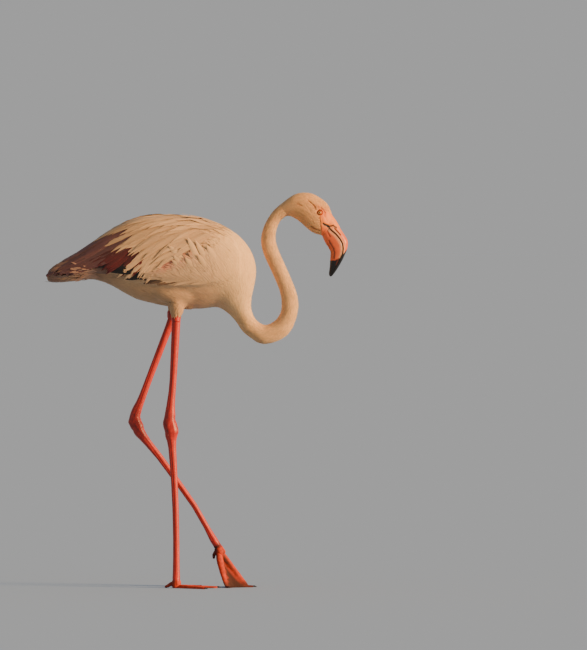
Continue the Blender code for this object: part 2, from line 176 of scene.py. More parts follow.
@dataclass(frozen=True)
class Finish:
    """A procedural finish, coloured by the piece's tint attribute or by one fixed colour."""

    name: str
    roughness: float = 0.8
    sheen: float = 0.0
    coat: float = 0.0
    mottle: float = 0.08
    mottle_scale: float = 240.0
    bump: float = 0.15
    bump_scale: float = 700.0
    bump_distance: float = 0.0006
    barbs: float = 0.0
    scutes: float = 0.0
    subsurface: float = 0.0
    colour: tuple[float, float, float] | None = None

    SHEEN_ROUGHNESS: ClassVar[float] = 0.5
    COAT_ROUGHNESS: ClassVar[float] = 0.25
    GLOW_RADIUS: ClassVar[tuple[float, float, float]] = (1.0, 0.55, 0.35)
    GLOW_DEPTH: ClassVar[float] = 0.004
    BARB_SLANT: ClassVar[float] = -0.55     # rise towards the tip for each step outwards
    BARB_PACE: ClassVar[float] = 7600.0     # radians of the barbs' wave in a metre
    SCUTE_PACE: ClassVar[float] = 1700.0
    SCUTE_WANDER: ClassVar[float] = 0.004   # how unevenly the scutes are spaced

    def material(self) -> Material:
        """Build the node material at its first use.

        Returns:
            The material.
        """
        found = bpy.data.materials.get(self.name)
        if found:
            return found
        material = bpy.data.materials.new(self.name)
        graph = Graph(material)
        graph.feed(graph.shader, {
            "Roughness": self.roughness, "Sheen Weight": self.sheen,
            "Sheen Roughness": self.SHEEN_ROUGHNESS, "Coat Weight": self.coat,
            "Coat Roughness": self.COAT_ROUGHNESS, "Subsurface Weight": self.subsurface,
            "Subsurface Radius": self.GLOW_RADIUS, "Subsurface Scale": self.GLOW_DEPTH})
        place = graph.add("TexCoord", {}).outputs["Object"]
        spots = graph.add("TexNoise", {"Scale": self.mottle_scale, "Detail": 3.0,
                                       "Vector": place})
        spread = graph.add("MapRange", {
            "From Min": 0.3, "From Max": 0.7, "To Min": 1.0 - self.mottle,
            "To Max": 1.0 + self.mottle, "Value": spots.outputs["Fac"]})
        tint = self.colour
        if not tint:
            attribute = graph.add("Attribute", {})
            attribute.attribute_name = "tint"
            tint = attribute.outputs["Color"]
        shade = graph.add("VectorMath", {})
        shade.operation = "SCALE"
        graph.feed(shade, {0: tint, "Scale": spread.outputs["Result"]})
        grain = graph.add("TexNoise", {"Scale": self.bump_scale, "Vector": place})
        height = grain.outputs["Fac"]
        if self.barbs:
            height = self._barbs(graph, height)
        if self.scutes:
            height = self._scutes(graph, place, height)
        bump = graph.add("Bump", {"Strength": self.bump, "Height": height,
                                  "Distance": self.bump_distance})
        graph.feed(graph.shader, {"Base Color": shade.outputs["Vector"],
                                  "Normal": bump.outputs["Normal"]})
        return material

    def _barbs(self, graph: Graph, grain: Socket) -> Socket:
        """Add the slanted barbs of a vane to the height.

        Args:
            graph: The material's nodes.
            grain: The height so far.

        Returns:
            The height with barbs.
        """
        vane = graph.add("UVMap", {})
        vane.uv_map = "Vane"
        split = graph.add("SeparateXYZ", {"Vector": vane.outputs["UV"]}).outputs
        across = graph.math("ABSOLUTE", split["X"])
        slant = graph.math("MULTIPLY_ADD", across, self.BARB_SLANT, split["Y"])
        wave = graph.math("SINE", graph.math("MULTIPLY", slant, self.BARB_PACE))
        return graph.math("MULTIPLY_ADD", wave, self.barbs, grain)

    def _scutes(self, graph: Graph, place: Socket, grain: Socket
                ) -> Socket:
        """Add the level scutes of a leg to the height.

        Args:
            graph: The material's nodes.
            place: The place on the leg.
            grain: The height so far.

        Returns:
            The height with scutes.
        """
        up = graph.add("SeparateXYZ", {"Vector": place}).outputs["Z"]
        level = graph.math("MULTIPLY_ADD", grain, self.SCUTE_WANDER, up)
        wave = graph.math("SINE", graph.math("MULTIPLY", level, self.SCUTE_PACE))
        return graph.math("MULTIPLY_ADD", graph.math("ABSOLUTE", wave), self.scutes, grain)


DOWN = Finish("soft_down", roughness=0.9, sheen=0.2, mottle=0.04, bump=0.10, barbs=0.15,
              subsurface=0.25)
VELVET = Finish("short_velvet", roughness=0.92, sheen=0.2, mottle=0.07, mottle_scale=170.0,
                bump=0.2, subsurface=0.25)
VANES = Finish("long_vanes", roughness=0.75, sheen=0.15, mottle=0.04, bump=0.15, barbs=0.25,
               subsurface=0.2)
BARE_SKIN = Finish("bare_skin", roughness=0.55, mottle=0.08, mottle_scale=420.0, bump=0.35,
                   bump_scale=1300.0, subsurface=0.08)
SCALED_SKIN = Finish("scaled_skin", roughness=0.42, coat=0.12, mottle=0.10,
                     mottle_scale=200.0, bump=0.35, bump_scale=500.0, scutes=0.6)
WEB_SKIN = Finish("web_skin", roughness=0.85, mottle=0.16, mottle_scale=320.0, bump=0.35,
                  bump_scale=600.0)
HORN = Finish("polished_horn", roughness=0.42, coat=0.12, mottle=0.05, mottle_scale=300.0,
              bump=0.12)
EYE_GLOSS = Finish("wet_eye", roughness=0.06, coat=1.0, mottle=0.02, bump=0.0)
CLAW = Finish("dark_claw", roughness=0.35, coat=0.2, mottle=0.05, bump=0.15,
              colour=(0.018, 0.012, 0.011))


# --- mesh helpers


def dress(piece: Object, finishes: list[Finish],
          replaced: tuple[str, ...] = ()) -> Object:
    """Give a piece its materials, hang it on the root body and hide the CAD nodes that it stands
    for.

    Args:
        piece: The finished piece.
        finishes: Its finishes in the order of its material slots.
        replaced: The CAD nodes that it stands for.

    Returns:
        The same piece.
    """
    for finish in finishes:
        piece.data.materials.append(finish.material())
    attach(piece, "root")
    if replaced:
        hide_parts(*replaced)
    LOG.info("%s: %d faces, %d triangles", piece.name, len(piece.data.polygons),
             sum(len(face.vertices) - 2 for face in piece.data.polygons))
    return piece


def paint(mesh: Mesh, colours: Array) -> None:
    """Store one colour for each vertex as the tint attribute.

    Args:
        mesh: The mesh.
        colours: A linear colour for each vertex.
    """
    tint = mesh.color_attributes.new("tint", "FLOAT_COLOR", "POINT")
    full = np.ones((len(mesh.vertices), 4), dtype=np.float32)
    full[:, :3] = np.clip(colours, 0.0, 1.0)
    tint.data.foreach_set("color", full.ravel())


def linked(name: str, mesh: Mesh) -> Object:
    """Put a smooth mesh into the scene.

    Args:
        name: The piece's name.
        mesh: Its mesh.

    Returns:
        The piece.
    """
    mesh.polygons.foreach_set("use_smooth", [True] * len(mesh.polygons))
    piece = bpy.data.objects.new(name, mesh)
    bpy.context.collection.objects.link(piece)
    return piece


def mesh_from(bm: BMesh, name: str) -> Mesh:
    """Turn a bmesh into a mesh.

    Args:
        bm: The bmesh, which is freed.
        name: The mesh's name.

    Returns:
        The mesh.
    """
    mesh = bpy.data.meshes.new(name)
    bm.to_mesh(mesh)
    bm.free()
    return mesh


def rows_of(items: bpy.types.bpy_prop_collection, key: str) -> Array:
    """Read vectors from a mesh.

    Args:
        items: The mesh's vertices or their normals.
        key: The name of the vector in each.

    Returns:
        A row of numbers for each.
    """
    flat = np.empty(len(items) * 3)
    items.foreach_get(key, flat)
    return flat.reshape(-1, 3)


def slice_through(bm: BMesh, point: Vector | tuple[float, float, float],
                  way: Vector | tuple[float, float, float], **cleared: bool) -> None:
    """Cut a bmesh along a plane, and clear its inner or outer side where that is asked."""
    bmesh.ops.bisect_plane(bm, geom=bm.verts[:] + bm.edges[:] + bm.faces[:], plane_co=point,
                           plane_no=way, **cleared)


def fill_rims(bm: BMesh) -> None:
    """Close a bmesh's open rims."""
    rims = [edge for edge in bm.edges if edge.is_boundary]
    bmesh.ops.holes_fill(bm, edges=rims, sides=0)


def grid_shell(rows: Array) -> BMesh:
    """Bend a flat grid so that it passes through rings of points.

    Args:
        rows: Points in an array of rings by columns by three.

    Returns:
        The new shell, closed at both ends, with its faces outwards.
    """
    count, columns = rows.shape[:2]
    bm = bmesh.new()
    bmesh.ops.create_grid(bm, x_segments=columns, y_segments=count - 1, size=0.5)
    for index, vert in enumerate(bm.verts):
        row, column = divmod(index, columns + 1)
        vert.co = rows[row, column % columns]
    bmesh.ops.remove_doubles(bm, verts=bm.verts, dist=1e-7)
    fill_rims(bm)
    bm.normal_update()
    bmesh.ops.recalc_face_normals(bm, faces=bm.faces)
    return bm


# --- plan of the body


class Spine:
    """The bird's centreline from the tail tip to the base of the bill."""

    STATIONS = (
        (-0.321, 0.672), (-0.262, 0.690), (-0.223, 0.704), (-0.182, 0.709), (-0.131, 0.708),
        (-0.071, 0.706), (-0.008, 0.700), (0.034, 0.692), (0.064, 0.681), (0.084, 0.663),
        (0.094, 0.641), (0.098, 0.610), (0.100, 0.586), (0.109, 0.5685), (0.1235, 0.555),
        (0.143, 0.5445), (0.169, 0.552), (0.1885, 0.570), (0.199, 0.604), (0.193, 0.6415),
        (0.174, 0.6865), (0.158, 0.722), (0.1515, 0.750), (0.157, 0.778), (0.170, 0.800),
        (0.186, 0.8135), (0.2005, 0.8205), (0.225, 0.819), (0.242, 0.810), (0.2575, 0.800),
        (0.2695, 0.793), (0.2785, 0.7793),
    )
    NECK_ROOT, NAPE = 12, 25     # stations where the neck and the head start
    FINE = 8                     # steps between two stations
    REACH_INWARDS = 0.018        # how far inwards a surface point looks for its spine point
    BATCH = 4000                 # points that are looked up together

    def __init__(self) -> None:
        """Sample the centreline finely and measure along it."""
        self.points = catmull(np.array([(x, 0.0, z) for x, z in self.STATIONS]), self.FINE)
        steps = np.linalg.norm(np.diff(self.points, axis=0), axis=1)
        self.places = np.concatenate([[0.0], np.cumsum(steps)])
        self.headings = unit(np.gradient(self.points, axis=0))
        self.length = float(self.places[-1])
        self.neck_root = float(self.places[self.NECK_ROOT * self.FINE])
        self.nape = float(self.places[self.NAPE * self.FINE])

    def locate(self, points: Array, normals: Array) -> dict[str, Array]:
        """Find where surface points are along the spine and round it.

        Args:
            points: Points on the skin.
            normals: The skin's outward directions there.

        Returns:
            The place along the spine, the turn round it from -0.5 to 0.5 with 0 on top,
            and the spine's heading towards the head.
        """
        inner = points - normals * self.REACH_INWARDS
        index = np.empty(len(points), dtype=int)
        for start in range(0, len(points), self.BATCH):
            part = inner[start:start + self.BATCH, None, :] - self.points[None]
            index[start:start + self.BATCH] = (part ** 2).sum(-1).argmin(1)
        heading = self.headings[index]
        upward = np.cross(heading, np.array([0.0, 1.0, 0.0]))
        offset = points - self.points[index]
        turn = np.arctan2(offset[:, 1], (offset * upward).sum(1)) / (2 * math.pi)
        return {"place": self.places[index], "turn": turn, "heading": heading}


def srgb(red: int, green: int, blue: int) -> Array:
    """Return a linear colour from its display values."""
    values = np.array([red, green, blue]) / 255.0
    return np.where(values <= 0.04045, values / 12.92, ((values + 0.055) / 1.055) ** 2.4)


class Hue:
    """The bird's colours."""

    CREAM = srgb(232, 184, 134)
    BREAST = srgb(250, 199, 136)
    # Darker than the cream: painted shade on the underside.
    SHADED_BELLY = srgb(204, 154, 108)
    NECK = srgb(238, 182, 122)
    NECK_SHADE = srgb(204, 146, 100)
    HEAD = srgb(242, 174, 108)
    ROSE = srgb(236, 152, 122)
    PINK = srgb(214, 84, 66)
    # The coverts' crimson, made darker as painted shade on the wing's rear.
    CRIMSON = srgb(100, 15, 17)
    DEEP_CRIMSON = srgb(64, 15, 19)
    # The tertials' dusky rose, made darker as painted shade on the bird's rear.
    MAUVE = srgb(104, 62, 62)
    DUSK = srgb(80, 50, 52)
    # The tail's brown, made darker as painted shade on the rear.
    TAIL = srgb(134, 98, 78)
    TUFT = srgb(182, 136, 110)
    # Pale brown under the rear, darkened as painted shade.
    SHADED_UNDERTAIL = srgb(164, 120, 88)
    BLACK = srgb(9, 7, 7)
    FACE = srgb(238, 134, 52)
    # Darker orange for the painted shade round the eye.
    LORES = srgb(214, 90, 20)
    # Dark brown of painted shade in the skin's folds and creases; also a streak on the bill's
    # black tip.
    CREASE = srgb(126, 50, 18)
    CORAL = srgb(198, 40, 20)
    # Dark red of the legs' spots and pits, and of the painted shade in their grooves.
    GROOVE = srgb(92, 12, 8)
    FOOT = srgb(196, 60, 28)
    WEB = srgb(54, 20, 8)
    BILL = srgb(226, 102, 50)
    BILL_RIM = srgb(252, 200, 150)
    SEAM = srgb(14, 5, 3)
    IRIS = srgb(216, 152, 52)
    LID = srgb(198, 88, 12)


def blend(base: Array, colour: Array, share: Array) -> Array:
    """Mix a colour into rows of colours by a share for each row."""
    return base * (1 - share[:, None]) + colour * share[:, None]


def layered(colours: Array, *layers: tuple[Array, Array]) -> Array:
    """Mix colours in one after another, each with its share for each row."""
    for colour, share in layers:
        colours = blend(colours, colour, share)
    return colours


def patch(points: Array, centre: Place, reach: Place, tilt: float = 0.0) -> Array:
    """Make a soft oval mask in side view.

    Args:
        points: Points to test.
        centre: The oval's middle.
        reach: Its half length and half height.
        tilt: Its tilt in degrees.

    Returns:
        A value for each point, 1 in the middle and falling to 0 outside the oval.
    """
    turn = math.radians(tilt)
    forward, rise = points[:, 0] - centre[0], points[:, 2] - centre[1]
    along = (forward * math.cos(turn) + rise * math.sin(turn)) / reach[0]
    across = (-forward * math.sin(turn) + rise * math.cos(turn)) / reach[1]
    return np.exp(-1.6 * (along ** 2 + across ** 2))


INKED = 2.2     # gain that fills a line's whole width and leaves only its edges soft


def near_line(points: Array, line: Line, width: float, gain: float = 1.0) -> Array:
    """Make a soft mask along a line in side view.

    Args:
        points: Points to test.
        line: The line's corners.
        width: Distance from the line where the mask has almost gone.
        gain: How far the mask is raised before it is cut off at 1.

    Returns:
        A value from 0 to 1 for each point.
    """
    places = points[:, [0, 2]]
    nearest = np.full(len(points), np.inf)
    for start, end in zip(np.array(line), np.array(line)[1:]):
        way = end - start
        share = np.clip((places - start) @ way / (way @ way), 0.0, 1.0)
        gap = np.linalg.norm(places - start - share[:, None] * way, axis=1)
        nearest = np.minimum(nearest, gap)
    return np.minimum(1.0, gain * np.exp(-(nearest / (0.6 * width)) ** 2))


def mottle(points: Array, size: float, seed: float = 0.0) -> Array:
    """Make soft random spots.

    Args:
        points: Where to look.
        size: Size of a spot.
        seed: Shifts the pattern.

    Returns:
        A value from -1 to 1 for each point.
    """
    shift = Vector((seed, 2 * seed, -seed))
    return np.array([noise.noise(Vector(point) / size + shift) for point in points])


def spotted(points: Array, size: float, seed: float, middle: float, gain: float
            ) -> Array:
    """Make spots with plain skin between them.

    Args:
        points: Where to look.
        size: Size of a spot.
        seed: Shifts the pattern.
        middle: The mean value.
        gain: How much the spots stand out.

    Returns:
        A value from 0 to 1 for each point.
    """
    return np.clip(middle + gain * mottle(points, size, seed), 0, 1)


@dataclass(frozen=True)
class Fold:
    """A fold of the skin in side view, with its line; a crease's dark line is painted shade."""

    line: Line | Array
    depth: float            # how far it draws the surface in
    reach: float            # how far from the line the hollow goes
    hue: Array
    share: float            # how strongly the line is coloured
    width: float            # how far from the line the colour goes
    gain: float = 1.0

    def hollow(self, points: Array) -> Array:
        """Measure how far it draws in the surface at each point."""
        return self.depth * near_line(points, self.line, self.reach)

    def mask(self, points: Array) -> Array:
        """Measure how strongly it colours each point."""
        return self.share * near_line(points, self.line, self.width, self.gain)


class Face:
    """Lines and folds of the bare face and of the head round it."""

    FOLDS = (
        # Behind and above the eye, the cheek's edge and the jaw: their dark lines are painted
        # shade in the folds.
        Fold(((0.2404, 0.8312), (0.2483, 0.8243), (0.2524, 0.8196), (0.2543, 0.8127)),
             0.0014, 0.0026, Hue.CREASE, 0.90, 0.0027),
        Fold(((0.2655, 0.8168), (0.2698, 0.8135), (0.2739, 0.8069)),
             0.0011, 0.0022, Hue.CREASE, 0.70, 0.0022),
        Fold(((0.2623, 0.7968), (0.2645, 0.7848), (0.2645, 0.7783), (0.2657, 0.7697)),
             0.0008, 0.0018, Hue.CREASE, 0.50, 0.0018),
        Fold(((0.2457, 0.7767), (0.2551, 0.7699), (0.2632, 0.7673)),
             0.0012, 0.0026, Hue.CREASE, 0.80, 0.0028),
        # The gape, the edge of the bill's horn and the ear; the ear's dark spot is painted shade
        # in its opening.
        Fold(((0.2698, 0.7828), (0.2722, 0.7803), (0.2765, 0.7788), (0.2800, 0.7765)),
             0.0013, 0.0022, Hue.SEAM, 0.98, 0.0022, INKED),
        Fold(((0.2700, 0.7838), (0.2745, 0.7815), (0.2793, 0.7800), (0.2825, 0.7772),
              (0.2868, 0.7782), (0.2913, 0.7796), (0.2943, 0.7766), (0.2984, 0.7749)),
             0.0011, 0.0020, Hue.SEAM, 0.97, 0.0020, INKED),
        Fold(((0.2175, 0.8258), (0.2242, 0.8211)), 0.0009, 0.0026, Hue.CREASE, 0.75, 0.0030),
    )
    WRINKLES: tuple[Line, ...] = (
        ((0.2668, 0.7935), (0.2682, 0.7880), (0.2676, 0.7820)),
        ((0.2715, 0.8010), (0.2755, 0.7945), (0.2790, 0.7870)),
        ((0.2420, 0.7960), (0.2470, 0.7900), (0.2500, 0.7830)),
        ((0.2330, 0.8220), (0.2400, 0.8150), (0.2440, 0.8070)),
    )
    WRINKLE_DEPTH, WRINKLE_REACH = 0.0004, 0.0018
    # Depth, middle, reach and tilt of the brow, the hollow of the lores and the cheek.
    SWELLS = (
        (-0.0007, (0.2600, 0.8200), (0.0100, 0.0040), -30),
        (0.0009, (0.2725, 0.8040), (0.0050, 0.0060), 0),
        (-0.0006, (0.2710, 0.7900), (0.0050, 0.0060), 0),
    )
    # Strength, middle, reach and tilt of the painted shade round the eye, in darker orange.
    EYE_SHADE = (
        (0.85, (0.2665, 0.8075), (0.0115, 0.0090), 0),
        (0.60, (0.2710, 0.8020), (0.0080, 0.0060), -40),
        (0.45, (0.2780, 0.8120), (0.0120, 0.0090), 0),
        (0.55, (0.2610, 0.8180), (0.0120, 0.0055), -30),
    )
    # The bare skin's hind edge: up, forward.
    HIND_EDGE = ((0.750, 0.770, 0.785, 0.797, 0.806), (0.2665, 0.2655, 0.2645, 0.2625, 0.2660))
    HEAD_FROM: Place = (0.205, 0.752)   # the lines are drawn only before and above this

    def bare(self, points: Array) -> Array:
        """Tell the bare skin between the eye and the bill from the feathers.

        Args:
            points: Points to test.

        Returns:
            1 on bare skin and 0 on feathers for each point.
        """
        behind = smoothstep(-0.0008, 0.0008, points[:, 0] - np.interp(points[:, 2],
                                                                      *self.HIND_EDGE))
        top = 0.8135 - 0.48 * (points[:, 0] - 0.2696)
        below = 1 - smoothstep(-0.0010, 0.0010, points[:, 2] - top)
        return behind * below * (points[:, 2] > 0.74)

    def relief(self, points: Array) -> Array:
        """Measure how far folds draw the surface in.

        Args:
            points: Points on the skin or the bill.

        Returns:
            The depth at each point.
        """
        depth = np.zeros(len(points))
        for fold in self.FOLDS:
            depth += fold.hollow(points)
        for wrinkle in self.WRINKLES:
            depth += self.WRINKLE_DEPTH * near_line(points, wrinkle, self.WRINKLE_REACH)
        for swell, *oval in self.SWELLS:
            depth += swell * patch(points, *oval)
        return depth

    def shade(self, points: Array, colours: Array, strength: float = 1.0) -> Array:
        """Add the painted shade round the eye and the folds' dark lines, which are painted shade
        except at the seams.

        Args:
            points: Where the colours are.
            colours: The colours without them.
            strength: How strongly they show.

        Returns:
            The new colours.
        """
        forward, up = self.HEAD_FROM
        strong = strength * ((points[:, 0] > forward) & (points[:, 2] > up))
        return layered(colours,
                       *((Hue.LORES, share * patch(points, *oval) * strong)
                         for share, *oval in self.EYE_SHADE),
                       *((fold.hue, fold.mask(points) * strong) for fold in self.FOLDS))

    def colours(self, points: Array) -> Array:
        """Colour the bare face.

        Args:
            points: Where to look.

        Returns:
            A colour for each point.
        """
        colours = np.tile(Hue.FACE, (len(points), 1))
        low = 1 - smoothstep(0.766, 0.782, points[:, 2] - 0.3 * (0.272 - points[:, 0]))
        return self.shade(points, blend(colours, Hue.BILL, 0.9 * low))


class Markings:
    """The colours of the plumage and of the skin below it, by place on the body."""

    # Colour, strength, middle, reach and tilt of the marks on the wings.
    MARKS = (
        (Hue.ROSE, 0.80, (-0.050, 0.694), (0.060, 0.020), 8),
        (Hue.PINK, 0.70, (-0.058, 0.696), (0.024, 0.010), -20),
        (Hue.PINK, 0.60, (-0.020, 0.704), (0.014, 0.009), -30),
        (Hue.PINK, 0.45, (0.004, 0.710), (0.010, 0.006), -35),
        (Hue.CRIMSON, 0.95, (-0.195, 0.716), (0.034, 0.022), 25),
        (Hue.BLACK, 0.95, (-0.205, 0.690), (0.030, 0.010), 10),
        (Hue.BLACK, 0.90, (-0.150, 0.668), (0.034, 0.006), 4),
    )
    FACE_STRENGTH = 0.9     # how strongly the face's lines show on feathers

    def __init__(self, spine: Spine, face: Face) -> None:
        """Keep the plan of the body and of the face."""
        self.spine, self.face = spine, face

    def plumage(self, points: Array, located: dict[str, Array]) -> Array:
        """Colour the plumage.

        Args:
            points: Points on the skin.
            located: Where they are along and round the spine.

        Returns:
            A colour for each point.
        """
        place, turn = located["place"], np.abs(located["turn"])
        root, nape = self.spine.neck_root, self.spine.nape
        front = smoothstep(0.02, 0.10, points[:, 0])
        neck = smoothstep(root - 0.02, root + 0.05, place)
        upper_neck = smoothstep(nape - 0.16, nape - 0.02, place) * (
            1 - smoothstep(nape + 0.02, nape + 0.06, place))
        spots = spotted(points, 0.012, 0.0, 0.5, 1.1)
        rear = smoothstep(0.13, 0.21, -points[:, 0])
        above = 1 - smoothstep(0.26, 0.36, turn)
        side = patch(points, (0.0, 0.70), (0.5, 0.06)) * (np.abs(points[:, 1]) > 0.02)
        # Painted shade: the underside takes the darker belly colour, and the rear the darkened
        # mauve and undertail colours.
        colours = layered(
            np.tile(Hue.CREAM, (len(points), 1)), (Hue.BREAST, front),
            (Hue.SHADED_BELLY, smoothstep(0.30, 0.46, turn) * (1 - front)), (Hue.NECK, neck),
            (Hue.NECK_SHADE, (0.16 * neck + 0.30 * upper_neck) * spots),
            (Hue.HEAD, smoothstep(nape, nape + 0.05, place)),
            (Hue.MAUVE, 0.9 * rear * above), (Hue.SHADED_UNDERTAIL, 0.9 * rear * (1 - above)),
            *((colour, share * side * patch(points, *oval))
              for colour, share, *oval in self.MARKS))
        return self.face.shade(points, colours, self.FACE_STRENGTH)


# --- the skin


Keep = Callable[[Array, Array], Array]     # picks places by points and normals


class Skin:
    """One skin over all the flesh: coarse under the plumage, finer on head, legs and feet."""

    BODY_VOXEL, HEAD_VOXEL, LEG_VOXEL = 0.0030, 0.0012, 0.0010
    SWELL = 0.00035                     # closes the thin cuts between the solids
    LEG_SHARE = 0.26                    # share of the fine leg faces that is kept
    TAIL_DEPTH, BODY_DEPTH, NECK_DEPTH, HEAD_DEPTH = 0.0012, 0.0045, 0.0018, 0.0008
    THIGH_DEPTH = 0.0030
    HEM = 0.586                         # height where the feathers end on the legs
    # The cones that lead from the thighs into the belly, and the haunches over them.
    SKIRT_HEIGHT, SKIRT_RADII, SKIRT_SIDE = 0.046, (0.011, 0.030), 0.028
    HAUNCH, HAUNCH_MIDDLE = (0.062, 0.029, 0.034), (0.003, 0.027, 0.640)
    OVERLAP = 0.016                     # length of nape that both shells cover
    HEAD_ZONE = (0.13, 0.74)            # the head lies before and above this
    THIGH_ZONE = (-0.095, -0.012)       # hind and front end of the thighs
    CROWD = 7                           # candidates for each feather root

    body: Mesh
    points: Array
    normals: Array
    tree: BVHTree

    def __init__(self, spine: Spine, markings: Markings, face: Face) -> None:
        """Keep the plan of the body, its colours and the face."""
        self.spine, self.markings, self.face = spine, markings, face

    def _wrapped(self, nodes: tuple[str, ...], voxel: float, smoothing: int,
                 share: float = 1.0, extra: Sequence[BMesh] = ()
                 ) -> Mesh:
        """Wrap several CAD nodes in one closed mesh.

        Args:
            nodes: The nodes' names.
            voxel: Size of the mesh's cells.
            smoothing: Rounds of smoothing.
            share: Share of the faces that is kept.
            extra: Further solids to take in.

        Returns:
            The mesh.
        """
        bm = bmesh.new()
        for name in nodes:
            bm.from_mesh(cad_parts[name].data)
        bmesh.ops.remove_doubles(bm, verts=bm.verts, dist=1e-6)
        bm.normal_update()
        for vert in bm.verts:
            vert.co += vert.normal * self.SWELL
        for solid in extra:
            bm.from_mesh(mesh_from(solid, "extra"))
        wrap = linked("wrap", mesh_from(bm, "wrap"))
        remesh = wrap.modifiers.new("cells", "REMESH")
        remesh.mode, remesh.voxel_size = "VOXEL", voxel
        smooth = wrap.modifiers.new("smooth", "SMOOTH")
        smooth.factor, smooth.iterations = 0.5, smoothing
        if share < 1.0:
            wrap.modifiers.new("thin", "DECIMATE").ratio = share
        bpy.context.view_layer.update()
        graph = bpy.context.evaluated_depsgraph_get()
        result = bpy.data.meshes.new_from_object(wrap.evaluated_get(graph))
        bpy.data.meshes.remove(wrap.data)
        return result

    def _cut(self, mesh: Mesh, place: float, keep_head: bool) -> BMesh:
        """Cut a shell across the neck.

        Args:
            mesh: The shell.
            place: Where the cut is along the spine.
            keep_head: Whether the head's side stays.

        Returns:
            The side that stays, closed.
        """
        index = int(np.searchsorted(self.spine.places, place))
        point, heading = Vector(self.spine.points[index]), Vector(self.spine.headings[index])
        forward, up = self.HEAD_ZONE
        bm = bmesh.new()
        bm.from_mesh(mesh)
        slice_through(bm, point, heading)
        loose = []
        for vert in bm.verts:
            ahead = (vert.co - point).dot(heading)
            beyond = ahead > 1e-6 and vert.co.x > forward and vert.co.z > up
            if (ahead < -1e-6) if keep_head else beyond:
                loose.append(vert)
        bmesh.ops.delete(bm, geom=loose, context="VERTS")
        fill_rims(bm)
        bmesh.ops.recalc_face_normals(bm, faces=bm.faces)
        return bm

    def _depth(self, points: Array, place: Array) -> Array:
        """Measure how deep the skin lies under the coat.

        Args:
            points: Points on the wrap.
            place: Where they are along the spine.

        Returns:
            The depth at each point.
        """
        root, nape = self.spine.neck_root, self.spine.nape
        depth = np.interp(place, [0.02, 0.09, root - 0.05, root + 0.05, nape - 0.03, nape + 0.02],
                          [self.TAIL_DEPTH, self.BODY_DEPTH, self.BODY_DEPTH, self.NECK_DEPTH,
                           self.NECK_DEPTH, self.HEAD_DEPTH])
        depth = depth * (1 - self.face.bare(points))
        thigh = self.thigh_share(points)
        return depth * (1 - thigh) + self.THIGH_DEPTH * thigh

    def thigh_share(self, points: Array) -> Array:
        """Return 1 on the feathered thighs and 0 elsewhere."""
        low = 1 - smoothstep(0.600, 0.612, points[:, 2])
        return low * (points[:, 0] < self.THIGH_ZONE[1]) * (points[:, 0] > self.THIGH_ZONE[0])

    def build(self, collars: list[BMesh]) -> Object:
        """Build the skin and keep its surface for the feathers.

        Args:
            collars: Solids round the bill's base that the face's skin grows over.

        Returns:
            The skin.
        """
        nape = self.spine.nape
        wrap = self._wrapped(PLUMAGE_NODES, self.BODY_VOXEL, 9, 1.0, (self._skirts(),))
        trunk = self._cut(wrap, nape, False)
        wrap = self._wrapped(("neck_upper", "head"), self.HEAD_VOXEL, 7, 1.0, collars)
        trunk.from_mesh(mesh_from(self._cut(wrap, nape - self.OVERLAP, True), "head_shell"))
        self.body = body = mesh_from(trunk, "body_shell")
        points, normals = rows_of(body.vertices, "co"), rows_of(body.vertex_normals, "vector")
        located = self.spine.locate(points, normals)
        on_head = located["place"] > nape
        inward = self._depth(points, located["place"]) + self.face.relief(points) * on_head
        legs = Legs(self.HEM)
        bare_legs = legs.shaped(self._legs())
        self.points = points = legs.tapered(points - normals * inward[:, None], -0.0004)
        body.vertices.foreach_set("co", points.ravel())
        body.update()
        self.normals = rows_of(body.vertex_normals, "vector")
        self.tree = BVHTree.FromPolygons(points.tolist(),
                                         [tuple(face.vertices) for face in body.polygons])
        bare = (self.face.bare(points) * on_head)[:, None]
        colours = self.markings.plumage(points, located) * (1 - bare)
        paint(body, colours + self.face.colours(points) * bare)
        bm = bmesh.new()
        bm.from_mesh(body)
        plumed = len(bm.faces)
        bm.from_mesh(bare_legs)
        bm.faces.ensure_lookup_table()
        on_legs = bm.faces[plumed:]
        dull = legs.dull(np.array([face.calc_center_median() for face in on_legs]))
        for face, is_dull in zip(on_legs, dull):
            face.material_index = 2 if is_dull else 1
        return dress(linked("skin", mesh_from(bm, "skin")), [BARE_SKIN, SCALED_SKIN, WEB_SKIN],
                     PLUMAGE_NODES + LEG_NODES)

    def _skirts(self) -> BMesh:
        """Shape the cones and haunches that widen the thighs' plumage up into the belly.

        Returns:
            The solids for both sides.
        """
        bm = bmesh.new()
        ahead, aside, up = self.HAUNCH_MIDDLE
        for side, sign in SIDES.items():
            hip = Legs.AXES[side][1][-1]
            place = Vector((hip, self.SKIRT_SIDE * sign, self.HEM + 0.5 * self.SKIRT_HEIGHT))
            bmesh.ops.create_cone(bm, cap_ends=True, segments=32, radius1=self.SKIRT_RADII[0],
                                  radius2=self.SKIRT_RADII[1], depth=self.SKIRT_HEIGHT,
                                  matrix=Matrix.LocRotScale(place, None, (1.0, 0.6, 1.0)))
            place = Vector((hip + ahead, aside * sign, up))
            bmesh.ops.create_icosphere(bm, subdivisions=4, radius=1.0,
                                       matrix=Matrix.LocRotScale(place, None, self.HAUNCH))
        return bm

    def _legs(self) -> Mesh:
        """Wrap the bare legs and feet.

        Returns:
            Their mesh, with stumps that reach up into the thighs.
        """
        bm = bmesh.new()
        bm.from_mesh(self._wrapped(LEG_NODES + THIGH_NODES, self.LEG_VOXEL, 4, self.LEG_SHARE))
        slice_through(bm, (0.0, 0.0, self.HEM + 0.010), (0.0, 0.0, 1.0), clear_outer=True)
        fill_rims(bm)
        return mesh_from(bm, "bare_legs")

